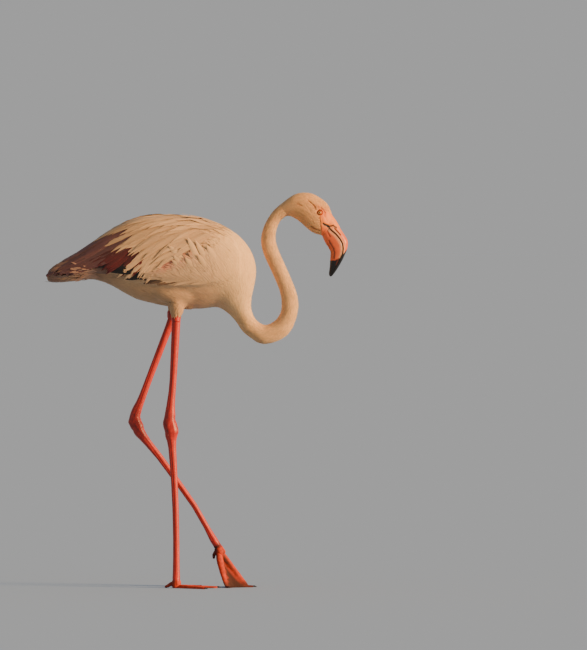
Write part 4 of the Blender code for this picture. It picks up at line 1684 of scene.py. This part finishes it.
class WingCoats:
    """The folded wings: tertials, scapulars, coverts and the dark flight feathers."""

    # Five tiers of scapulars: the first one's roots and tips, and the step to the next.
    SCAPULARS = np.array((((-0.105, 0.795), (0.020, 0.756)), ((-0.228, 0.750), (-0.080, 0.690))))
    TIER_STEP = np.array((0.013, 0.0045))
    OVERLAP = 0.12      # slope that lays each feather's lower edge over the next feather
    # The flight feathers, a dark fan of painted shadow under the wing, and the tertials, the
    # lowest first.
    QUILLS = (
        Tract(((-0.080, 0.700), (-0.060, 0.682)), ((-0.236, 0.694), (-0.134, 0.663)), 9,
              0.0070, (Hue.BLACK, Hue.BLACK), 0.0),
        # A dark fan below the coverts: painted shadow between the wing and the belly.
        Tract(((-0.052, 0.672), (-0.028, 0.664)), ((-0.128, 0.658), (-0.078, 0.6485)), 6,
              0.0036, (Hue.BLACK, Hue.SHADED_BELLY * 0.4), 0.0),
        Tract(((-0.205, 0.700), (-0.195, 0.682)), ((-0.322, 0.684), (-0.308, 0.666)), 8,
              0.0075, (Hue.TAIL, Hue.TAIL), 0.0),
        Tract(((-0.140, 0.772), (-0.150, 0.722)), ((-0.326, 0.696), (-0.276, 0.692)), 10,
              0.0115, (Hue.DUSK, Hue.MAUVE), 0.06),
        Tract(((-0.120, 0.786), (-0.140, 0.745)), ((-0.288, 0.712), (-0.246, 0.700)), 7,
              0.0115, (Hue.MAUVE, Hue.DUSK), 0.06, 1.1),
        Tract(((-0.110, 0.796), (-0.125, 0.765)), ((-0.258, 0.732), (-0.232, 0.710)), 6,
              0.0110, (Hue.MAUVE, Hue.DUSK), 0.06, 1.2),
    )
    # The coverts, the lowest first.
    COVERTS = (
        Tract(((-0.040, 0.702), (0.060, 0.672)), ((-0.120, 0.668), (-0.010, 0.652)), 17,
              0.0080, (Hue.CREAM, Hue.CREAM), 0.05),
        Tract(((-0.025, 0.716), (0.065, 0.694)), ((-0.100, 0.680), (0.005, 0.668)), 16,
              0.0075, (Hue.ROSE, Hue.CREAM), 0.05, 1.2),
        Tract(((-0.148, 0.752), (-0.130, 0.728)), ((-0.230, 0.714), (-0.196, 0.682)), 10,
              0.0078, (Hue.DEEP_CRIMSON, Hue.CRIMSON), 0.1, 2.8),
        Tract(((-0.112, 0.742), (-0.100, 0.732)), ((-0.182, 0.690), (-0.150, 0.668)), 7,
              0.0080, (Hue.DEEP_CRIMSON, Hue.CRIMSON), 0.1, 1.2),
        Tract(((-0.100, 0.750), (-0.070, 0.735)), ((-0.178, 0.676), (-0.160, 0.664)), 6,
              0.0075, (Hue.CREAM, Hue.CREAM), 0.2, 1.6),
        Tract(((-0.100, 0.738), (-0.098, 0.730)), ((-0.143, 0.674), (-0.138, 0.672)), 2,
              0.0065, (Hue.CRIMSON, Hue.CRIMSON), 0.1, 1.75, jitter=0.001),
        Tract(((-0.080, 0.742), (-0.050, 0.728)), ((-0.134, 0.668), (-0.104, 0.668)), 7,
              0.0075, (Hue.CREAM, Hue.CREAM), 0.2, 1.8),
    )
    # Root, tip, half width, and slope away from the body of each ruffled plume.
    RUFFLED = (
        ((-0.0280, 0.682), (-0.0500, 0.7170), 0.0055, 0.07),
        ((0.0000, 0.676), (-0.0260, 0.7140), 0.0060, 0.05),
        ((0.0300, 0.674), (0.0020, 0.7180), 0.0060, 0.05),
        ((-0.0360, 0.686), (-0.0529, 0.7070), 0.0040, 0.04),
        ((-0.0160, 0.690), (-0.0604, 0.7375), 0.0078, 0.04),
        ((0.0100, 0.690), (-0.0196, 0.7547), 0.0068, 0.04),
        ((0.0280, 0.688), (-0.0034, 0.7482), 0.0060, 0.04),
        ((0.0500, 0.688), (0.0202, 0.7375), 0.0066, 0.04),
    )
    TUFT_COUNT = 46     # loose feathers over each side of the tail's root
    TUFT_HALF_WIDTH = 0.0019

    def __init__(self, skin: Skin) -> None:
        """Keep the skin that they grow on."""
        self.skin = skin

    def _fan(self, coat: Coat, tract: Tract, side: float, rng: np.random.Generator) -> None:
        """Add one fan of feathers on one side.

        Args:
            coat: The coat to fill.
            tract: The fan.
            side: 1 for the left side, -1 for the right.
            rng: Random draws.
        """
        shares = (np.arange(tract.count) + 0.5) / tract.count
        shares = shares + rng.uniform(-0.3, 0.3, tract.count) / tract.count
        (r0, r1), (t0, t1) = np.array(tract.roots), np.array(tract.tips)
        roots, normals, headings, lengths = [], [], [], []
        for share in shares:
            start = r0 + (r1 - r0) * share + rng.normal(0, tract.jitter, 2)
            end = t0 + (t1 - t0) * share + rng.normal(0, tract.jitter, 2)
            end = start + (end - start) * tract.share
            spot, out = self.skin.beside(float(start[0]), float(start[1]), side)
            way = Vector((end[0] - start[0], 0.0, end[1] - start[1]))
            lengths.append(way.length * 1.05)
            way = way - out * way.dot(out)
            roots.append(spot)
            normals.append(out)
            headings.append(way.normalized())
        tints = tract.tint[0] * (1 - shares[:, None]) + tract.tint[1] * shares[:, None]
        widths = tract.half_width * rng.uniform(0.85, 1.15, tract.count)
        coat.grow(np.array(roots), np.array(normals), np.array(headings), np.array(lengths),
                  widths, tints, tract.droop, tract.raised, roll=-self.OVERLAP * side)

    def _scapulars(self) -> list[Tract]:
        """Lay out the tiers of scapulars, the longest lowest.

        Returns:
            One fan for each tier.
        """
        # Each fan darkens towards its hind end, the lowest tier most: painted shade on the back's
        # rear.
        return [Tract(*(self.SCAPULARS + tier * self.TIER_STEP), 11, 0.0098 - 0.0005 * tier,
                      (Hue.CREAM * (0.62 + 0.06 * tier), Hue.CREAM), 0.30, 1.3 + 0.08 * tier,
                      1.0 - 0.10 * tier, 0.006) for tier in range(5)]

    def build(self) -> None:
        """Build the wings' coats on both sides."""
        silky = {"silk": 0.65, "round": 0.4}
        # The darker roots and edges of these vanes are painted shade between them.
        quills = Coat("coat_flight_feathers", self.skin, "wing_plumage", 21, VANES,
                      VaneShape.FLIGHT, Section.SHAFTED, 12, (0.0010, 0.0030), camber=0.08,
                      stiffness=0.3, root_shade=0.80, vary=0.08, **silky)
        coverts = Coat("coat_coverts", self.skin, "wing_plumage", 22, VANES, VaneShape.LANCE,
                       Section.SHAFTED, 9, (0.0008, 0.0026), camber=0.07, stiffness=0.05,
                       root_shade=0.66, edge_shade=0.14, vary=0.07, **silky)
        scapulars = Coat("coat_scapulars", self.skin, "wing_plumage", 23, VANES,
                         VaneShape.LANCE, Section.SHAFTED, 13, (0.0008, 0.0044), camber=0.08,
                         stiffness=0.05, root_shade=0.62, edge_shade=0.16, vary=0.09, **silky)
        plumes = Coat("coat_plumes", self.skin, "plumage", 24, DOWN, VaneShape.PLUME,
                      Section.SHAFTED, 8, (0.0030, 0.0062), camber=0.10, silk=0.6,
                      stiffness=0.15)
        rng = np.random.default_rng(5)
        for side in SIDES.values():
            for coat, tracts in ((quills, self.QUILLS), (coverts, self.COVERTS),
                                 (scapulars, self._scapulars())):
                for tract in tracts:
                    self._fan(coat, tract, side, rng)
            for (x, z), (end_x, end_z), half, curl in self.RUFFLED:
                way = Vector((end_x - x, 0.0, end_z - z))
                length = way.length * rng.uniform(0.96, 1.04)
                self._plume(plumes, (x, z), way, side, length, half, Hue.CREAM,
                            rng.uniform(0.9, 1.3), curl)
            for _ in range(self.TUFT_COUNT):
                place = rng.uniform(-0.240, -0.208), rng.uniform(0.668, 0.688)
                way = Vector(side_way(rng.uniform(142, 200)))
                self._plume(plumes, place, way, side, rng.uniform(0.026, 0.042),
                            self.TUFT_HALF_WIDTH, Hue.TUFT, rng.uniform(1.0, 1.4),
                            rng.uniform(0.10, 0.20))
        for coat in (quills, coverts, scapulars, plumes):
            coat.build()

    def _plume(self, coat: Coat, place: Place, way: Vector, side: float, length: float,
               half_width: float, tint: Array, raised: float, curl: float) -> None:
        """Add one loose feather.

        Args:
            coat: The coat to fill.
            place: Its root in side view.
            way: The way it points in side view.
            side: 1 for the left side, -1 for the right.
            length: Its length.
            half_width: Its greatest half width.
            tint: Its colour.
            raised: How much higher than the coat's lift its tip stands.
            curl: How far it leaves the skin, as a slope.
        """
        spot, out = self.skin.beside(*place, side)
        way = (way - out * way.dot(out)).normalized()
        coat.grow(np.array([spot]), np.array([out]), np.array([way]), np.array([length]),
                  np.array([half_width]), np.array([tint]), 0.0, raised, curl)


class TailCoat:
    """The tail feathers in layers, the lowest first."""

    # Height of the roots, colour and length of each layer.
    LAYERS = ((0.664, Hue.TAIL, 0.090), (0.672, Hue.TAIL, 0.086), (0.682, Hue.MAUVE, 0.078))
    ROOT_FORWARD, ROOT_SPREAD, HALF_WIDTH = -0.236, 0.030, 0.0085

    def __init__(self, skin: Skin) -> None:
        """Keep the skin that they grow on."""
        self.skin = skin

    def build(self) -> None:
        """Build the tail's coat."""
        coat = Coat("coat_tail", self.skin, "tail_plumage", 31, VANES, VaneShape.FLIGHT,
                    Section.SHAFTED, 8, (0.0006, 0.0026), camber=0.08, stiffness=0.3,
                    frayed=0.02)
        rng = np.random.default_rng(6)
        for layer, (z, tint, reach) in enumerate(self.LAYERS):
            spread = np.linspace(-1, 1, 9 - layer)
            roots, outs, ways = [], [], []
            for share in spread:
                aim = Vector((self.ROOT_FORWARD, share * self.ROOT_SPREAD, z))
                near, out, _, _ = self.skin.tree.find_nearest(aim)
                roots.append(near)
                outs.append(out)
                ways.append(Vector((-1.0, share * 0.10, -0.10 + 0.02 * layer)))
            lengths = reach * (1 - 0.10 * np.abs(spread)) * rng.uniform(0.96, 1.03, len(spread))
            coat.grow(np.array(roots), np.array(outs), np.array(ways), lengths,
                      np.full(len(spread), self.HALF_WIDTH), np.tile(tint, (len(spread), 1)))
        coat.build()


# --- bill and eyes


class Bill:
    """The bent bill: a shallow upper half on a deep lower half, with a black tip."""

    COLUMNS = 88        # vertices round a half
    FINE = 16           # rings between two stations
    # Mouth line: forward, up, tilt of the upper side in degrees, depth of the upper and of
    # the lower half, and half the breadth, all from the gape to the tip.
    MOUTH = (
        (0.2790, 0.7791, 64.2, 0.0240, 0.0240, 0.0150),
        (0.2861, 0.7695, 49.0, 0.0210, 0.0240, 0.0142),
        (0.2971, 0.7600, 42.0, 0.0155, 0.0290, 0.0136),
        (0.3051, 0.7500, 32.0, 0.0140, 0.0295, 0.0132),
        (0.3101, 0.7410, 17.0, 0.0133, 0.0300, 0.0130),
        (0.3121, 0.7300, 0.0, 0.0095, 0.0300, 0.0128),
        (0.3111, 0.7190, -16.0, 0.0060, 0.0280, 0.0123),
        (0.3061, 0.7080, -31.0, 0.0060, 0.0235, 0.0112),
        (0.2991, 0.6960, -31.0, 0.0062, 0.0165, 0.0092),
        (0.2921, 0.6840, -36.0, 0.0056, 0.0100, 0.0066),
        (0.2846, 0.6700, -30.0, 0.0030, 0.0032, 0.0030),
    )
    BLUNT = 0.004       # length over which the tip is rounded
    SLIMMER = 0.0008    # how much the upper half's half breadth is less than the lower's
    MOUTH_GAP = 0.00003     # half the gap between the two halves
    MOUTH_LINE = ((0.2760, 0.7795), *(station[:2] for station in MOUTH[1:9]))
    # The pale rims and the dark lines of the upper and of the lower half: on the upper the
    # nostril, on the lower two creases, whose dark lines are painted shade, and the rough band
    # behind the mouth.
    UPPER_LINES = (
        Fold(np.array(MOUTH_LINE) + (0.0034, 0.0018), 0.0, 1.0, Hue.BILL_RIM, 0.70, 0.0022),
        Fold(((0.2940, 0.7728), (0.2975, 0.7690), (0.3062, 0.7598)),
             0.0016, 0.0022, Hue.SEAM, 0.97, 0.0023),
    )
    LOWER_LINES = (
        Fold(np.array(MOUTH_LINE) - (0.0036, 0.0018), 0.0, 1.0, Hue.BILL_RIM, 0.85, 0.0022),
        Fold(((0.2780, 0.7727), (0.2806, 0.7633), (0.2847, 0.7552)),
             0.0009, 0.0020, Hue.CREASE * 0.5, 0.90, 0.0022),
        Fold(((0.2821, 0.7471), (0.2857, 0.7396), (0.2913, 0.7310), (0.2941, 0.7215),
              (0.2927, 0.7082)), 0.0009, 0.0020, Hue.CREASE * 0.5, 0.90, 0.0022),
        Fold(((0.2800, 0.7400), (0.2840, 0.7300), (0.2875, 0.7200), (0.2880, 0.7110)),
             0.0006, 0.0040, Hue.CREASE, 0.50, 0.0030),
    )
    SEAM = Fold(MOUTH_LINE, 0.0, 1.0, Hue.SEAM, 0.99, 0.0034, INKED)
    STREAK = Fold(((0.3021, 0.7082), (0.2981, 0.6947)), 0.0, 1.0, Hue.CREASE, 0.45, 0.0016)
    FACE_RELIEF = 0.5       # share of the face's folds that shows in the horn
    # The black tip lies below this line: forward, up.
    BLACK_EDGE = ((0.280, 0.2847, 0.2954, 0.3049, 0.3083, 0.3128, 0.321, 0.330),
                  (0.7040, 0.7041, 0.7048, 0.7100, 0.7125, 0.7176, 0.7283, 0.736))
    # For the skin round the base of each half: the last station and how far it stands out.
    COLLARS = ((True, 2.0, 0.0006), (False, 0.5, 0.0003))
    COLLAR_BACK = 0.006     # how far it starts behind the gape
    COLLAR_CUT = ((0.2793, 0.0, 0.7797), (0.174, 0.0, 0.985))   # it stays above this plane

    def __init__(self, face: Face) -> None:
        """Keep the plan of the face."""
        self.face = face

    def _rings(self, upper: bool, last: float = 10.0, outset: float = 0.0) -> Array:
        """Lay out the rings of a half.

        Args:
            upper: Whether it is the upper half.
            last: Station of the last ring.
            outset: How much larger than the bill the rings are all round.

        Returns:
            Points by ring and place round it.
        """
        stations = catmull(np.array(self.MOUTH), self.FINE)[:int(last * self.FINE) + 1]
        turns = 2 * math.pi * np.arange(self.COLUMNS) / self.COLUMNS
        sign = 1.0 if upper else -1.0
        across, rise = np.cos(turns), np.sin(turns)
        above = np.clip(rise, 0.0, None)
        low = self.MOUTH[-1][1]
        rings = np.empty((len(stations), self.COLUMNS, 3))
        for row, (x, z, tilt, over, under, half) in enumerate(stations):
            out = side_way(tilt)
            depth = (over if upper else under) + outset
            breadth = half - (self.SLIMMER if upper else 0.0) + outset
            lip = 1 - 0.10 * np.exp(-(above / 0.05) ** 2)
            tip = math.sqrt(max(0.02, 1 - max(0.0, 1 - (z - low) / self.BLUNT) ** 2))
            height = (depth * above ** 0.85 + np.where(rise < 0, -outset, 0.0)) * tip
            side = breadth * np.sign(across) * np.abs(across) ** 0.9 * lip * tip
            rings[row] = (np.array([x, 0.0, z]) + sign * out * self.MOUTH_GAP
                          + np.outer(sign * height, out)
                          + np.outer(side, np.array([0.0, 1.0, 0.0])))
        return rings

    def collars(self) -> list[BMesh]:
        """Make solids round the bill's base that the face's skin grows over.

        Returns:
            One for the upper half and one for the lower.
        """
        solids = []
        for upper, last, outset in self.COLLARS:
            rings = self._rings(upper, last, outset)
            back = rings[0].mean(0) - rings[1].mean(0)
            start = rings[0] + back / np.linalg.norm(back) * self.COLLAR_BACK
            solids.append(grid_shell(np.concatenate([start[None], rings])))
        slice_through(solids[0], *self.COLLAR_CUT, clear_inner=True)
        fill_rims(solids[0])
        bmesh.ops.recalc_face_normals(solids[0], faces=solids[0].faces)
        return solids

    def _colours(self, points: Array, upper: bool) -> Array:
        """Colour a half.

        Args:
            points: Where to look.
            upper: Whether it is the upper half.

        Returns:
            A colour for each point.
        """
        flush = upper * 0.85 * smoothstep(0.752, 0.782, points[:, 2])
        lines = self.UPPER_LINES if upper else self.LOWER_LINES
        colours = layered(np.tile(Hue.BILL, (len(points), 1)),
                          (Hue.BILL * 0.72, 0.5 * spotted(points, 0.009, 5.0, 0.5, 1.0)),
                          (Hue.FACE, flush), *((fold.hue, fold.mask(points)) for fold in lines))
        edge = np.interp(points[:, 0], *self.BLACK_EDGE) + 0.0006 * mottle(points, 0.003)
        return layered(self.face.shade(points, colours), (Hue.SEAM, self.SEAM.mask(points)),
                       (Hue.BLACK, 1 - smoothstep(-0.0010, 0.0010, points[:, 2] - edge)),
                       (self.STREAK.hue, self.STREAK.mask(points)))

    def build(self) -> None:
        """Build both halves."""
        for name, upper in (("bill_upper", True), ("bill_lower", False)):
            mesh = mesh_from(grid_shell(self._rings(upper)), f"{name}_horn")
            points = rows_of(mesh.vertices, "co")
            normals = rows_of(mesh.vertex_normals, "vector")
            depth = self.face.relief(points) * self.FACE_RELIEF
            for fold in self.UPPER_LINES if upper else self.LOWER_LINES:
                depth += fold.hollow(points)
            side = smoothstep(0.3, 0.7, np.abs(normals[:, 1]))
            mesh.vertices.foreach_set("co", (points - normals * (depth * side)[:, None]).ravel())
            paint(mesh, self._colours(points, upper))
            dress(linked(mesh.name, mesh), [HORN], (name,))


class Eyes:
    """The pale eyes in their orange lids."""

    RADIUS, PUPIL, IRIS = 0.0062, 0.0015, 0.0034
    LID_INNER, LID_OUTER = 0.0032, 0.0066
    LID_ROWS, LID_COLUMNS = 13, 64
    UPPER_LID, LOWER_LID = 0.88, 0.94       # height over reach
    LID_LENGTH, LID_CORNER = 1.08, 0.10     # length over reach, and how much more in front
    # How far the lids stand off the eye, their puff, their folds and the sunk outer rim.
    LID_OFF, LID_PUFF, LID_FOLDS, LID_SINK = 0.0002, 0.0009, 0.00022, 0.0019

    def build(self) -> None:
        """Build both eyes and their lids."""
        for side, sign in SIDES.items():
            centre = node_middle(f"eye_{side}")
            bm = bmesh.new()
            bmesh.ops.create_icosphere(bm, subdivisions=5, radius=self.RADIUS)
            bmesh.ops.translate(bm, verts=bm.verts, vec=centre)
            mesh = mesh_from(bm, f"eyeball_{side}")
            points = rows_of(mesh.vertices, "co")
            away = np.hypot(points[:, 0] - centre.x, points[:, 2] - centre.z)
            away = np.where((points[:, 1] - centre.y) * sign > 0, away, 1.0)
            colours = blend(np.tile(Hue.IRIS, (len(points), 1)), Hue.BLACK,
                            1 - smoothstep(self.PUPIL * 0.85, self.PUPIL * 1.15, away))
            paint(mesh, blend(colours, Hue.SEAM,
                              smoothstep(self.IRIS * 0.85, self.IRIS * 1.05, away)))
            dress(linked(mesh.name, mesh), [EYE_GLOSS], (f"eye_{side}",))
            self._lids(side, sign, centre)

    def _lids(self, side: str, sign: float, centre: Vector) -> None:
        """Build the fleshy ring round one eye.

        Args:
            side: The side's name.
            sign: 1 for left, -1 for right.
            centre: The eyeball's middle.
        """
        turns = np.linspace(0, 2 * math.pi, self.LID_COLUMNS, endpoint=False)
        squeeze = np.where(np.sin(turns) > 0, self.UPPER_LID, self.LOWER_LID)
        rows, tints = [], []
        for share in np.linspace(0.0, 1.0, self.LID_ROWS):
            reach = self.LID_INNER + (self.LID_OUTER - self.LID_INNER) * share
            forward = reach * (self.LID_LENGTH + self.LID_CORNER * np.cos(turns)) * np.cos(turns)
            rise = reach * squeeze * np.sin(turns)
            inside = np.clip(self.RADIUS ** 2 - forward ** 2 - rise ** 2, 0.0, None)
            folds = self.LID_FOLDS * np.sin(5 * math.pi * share) * (1 - share)
            puff = self.LID_PUFF * math.sin(math.pi * min(1.0, share * 1.2)) ** 0.6
            out = np.sqrt(inside) + self.LID_OFF + puff + folds - self.LID_SINK * share ** 2
            rows.append(np.column_stack([centre.x + forward, centre.y + sign * out,
                                         centre.z + rise]))
            fleshy = min(1.0, share * 5)
            tints.append(Hue.SEAM * (1 - fleshy) + Hue.LID * fleshy * (0.75 + 0.35 * share))
        mesh = mesh_from(grid_shell(np.array(rows)), f"eyelids_{side}")
        points = rows_of(mesh.vertices, "co")
        reach = np.hypot(points[:, 0] - centre.x, points[:, 2] - centre.z)
        share = np.clip((reach - self.LID_INNER) / (self.LID_OUTER - self.LID_INNER), 0, 1)
        paint(mesh, np.array(tints)[np.round(share * (self.LID_ROWS - 1)).astype(int)])
        dress(linked(mesh.name, mesh), [BARE_SKIN])


def dress_claws() -> None:
    """Give the claws their horn."""
    for name in CLAW_NODES:
        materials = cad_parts[name].data.materials
        materials.clear()
        materials.append(CLAW.material())


# --- floor and lights


class Studio:
    """A pale floor, a soft light and the camera."""

    FLOOR_HALF = 900.0
    FLOOR_COLOUR = (0.36, 0.476, 0.645)
    KEY_COLOUR = (1.0, 0.62, 0.31)
    KEY_POWER = 8.4                     # in watts per square metre
    KEY_WAY = Vector((-0.88, 0.42, -0.26))
    KEY_SPREAD = 18.0                   # how broad the light looks, in degrees
    DISTANCE, EYE_HEIGHT = 16.0, 0.73   # of the camera
    AIM = (0.2062, 0.0, 0.5655)
    VIEW_HEIGHT = 1.3975                # height of the view at the bird
    SENSOR = 24.0                       # height of the sensor in millimetres

    def build(self) -> None:
        """Set up the floor, the lights and the camera."""
        self._floor()
        self._world()
        self._key()
        self._camera()

    def _floor(self) -> None:
        """Lay the floor."""
        bm = bmesh.new()
        bmesh.ops.create_grid(bm, x_segments=4, y_segments=4, size=self.FLOOR_HALF)
        floor = bpy.data.objects.new("studio_floor", mesh_from(bm, "studio_floor"))
        bpy.context.collection.objects.link(floor)
        material = bpy.data.materials.new("pale_floor")
        graph = Graph(material)
        graph.feed(graph.shader, {"Base Color": (*self.FLOOR_COLOUR, 1.0), "Roughness": 1.0,
                                  "Specular IOR Level": 0.0})
        floor.data.materials.append(material)

    def _world(self) -> None:
        """Light the surroundings evenly, as bright as the lit floor."""
        world = bpy.data.worlds.new("studio")
        world.use_nodes = True
        slope = -self.KEY_WAY.normalized().z
        back = world.node_tree.nodes["Background"]
        lit = [albedo * self.KEY_POWER * key * slope / math.pi / (1 - albedo)
               for albedo, key in zip(self.FLOOR_COLOUR, self.KEY_COLOUR)]
        back.inputs["Color"].default_value = (*lit, 1.0)
        back.inputs["Strength"].default_value = 1.0
        bpy.context.scene.world = world

    def _key(self) -> None:
        """Add the far, broad and soft light."""
        lamp = bpy.data.lights.new("key", "SUN")
        lamp.energy, lamp.color = self.KEY_POWER, self.KEY_COLOUR
        lamp.angle = math.radians(self.KEY_SPREAD)
        light = bpy.data.objects.new("key", lamp)
        light.rotation_euler = self.KEY_WAY.to_track_quat("-Z", "Y").to_euler()
        bpy.context.collection.objects.link(light)

    def _camera(self) -> None:
        """Place the camera far off to the bird's right."""
        data = bpy.data.cameras.new("camera")
        data.sensor_fit = "VERTICAL"
        data.sensor_height = self.SENSOR
        data.lens = self.SENSOR * self.DISTANCE / self.VIEW_HEIGHT
        data.clip_end = 3000.0
        camera = bpy.data.objects.new("camera", data)
        camera.location = (self.AIM[0], -self.DISTANCE, self.EYE_HEIGHT)
        way = Vector(self.AIM) - camera.location
        camera.rotation_euler = way.to_track_quat("-Z", "Y").to_euler()
        bpy.context.collection.objects.link(camera)
        bpy.context.scene.camera = camera


def main() -> None:
    """Dress the whole bird."""
    logging.basicConfig(level=logging.INFO, format="%(message)s")
    face, spine = Face(), Spine()
    bill = Bill(face)
    skin = Skin(spine, Markings(spine, face), face)
    skin.build(bill.collars())
    DownCoats(skin).build()
    WingCoats(skin).build()
    TailCoat(skin).build()
    bill.build()
    Eyes().build()
    dress_claws()
    Studio().build()


if __name__ == "__main__":
    main()
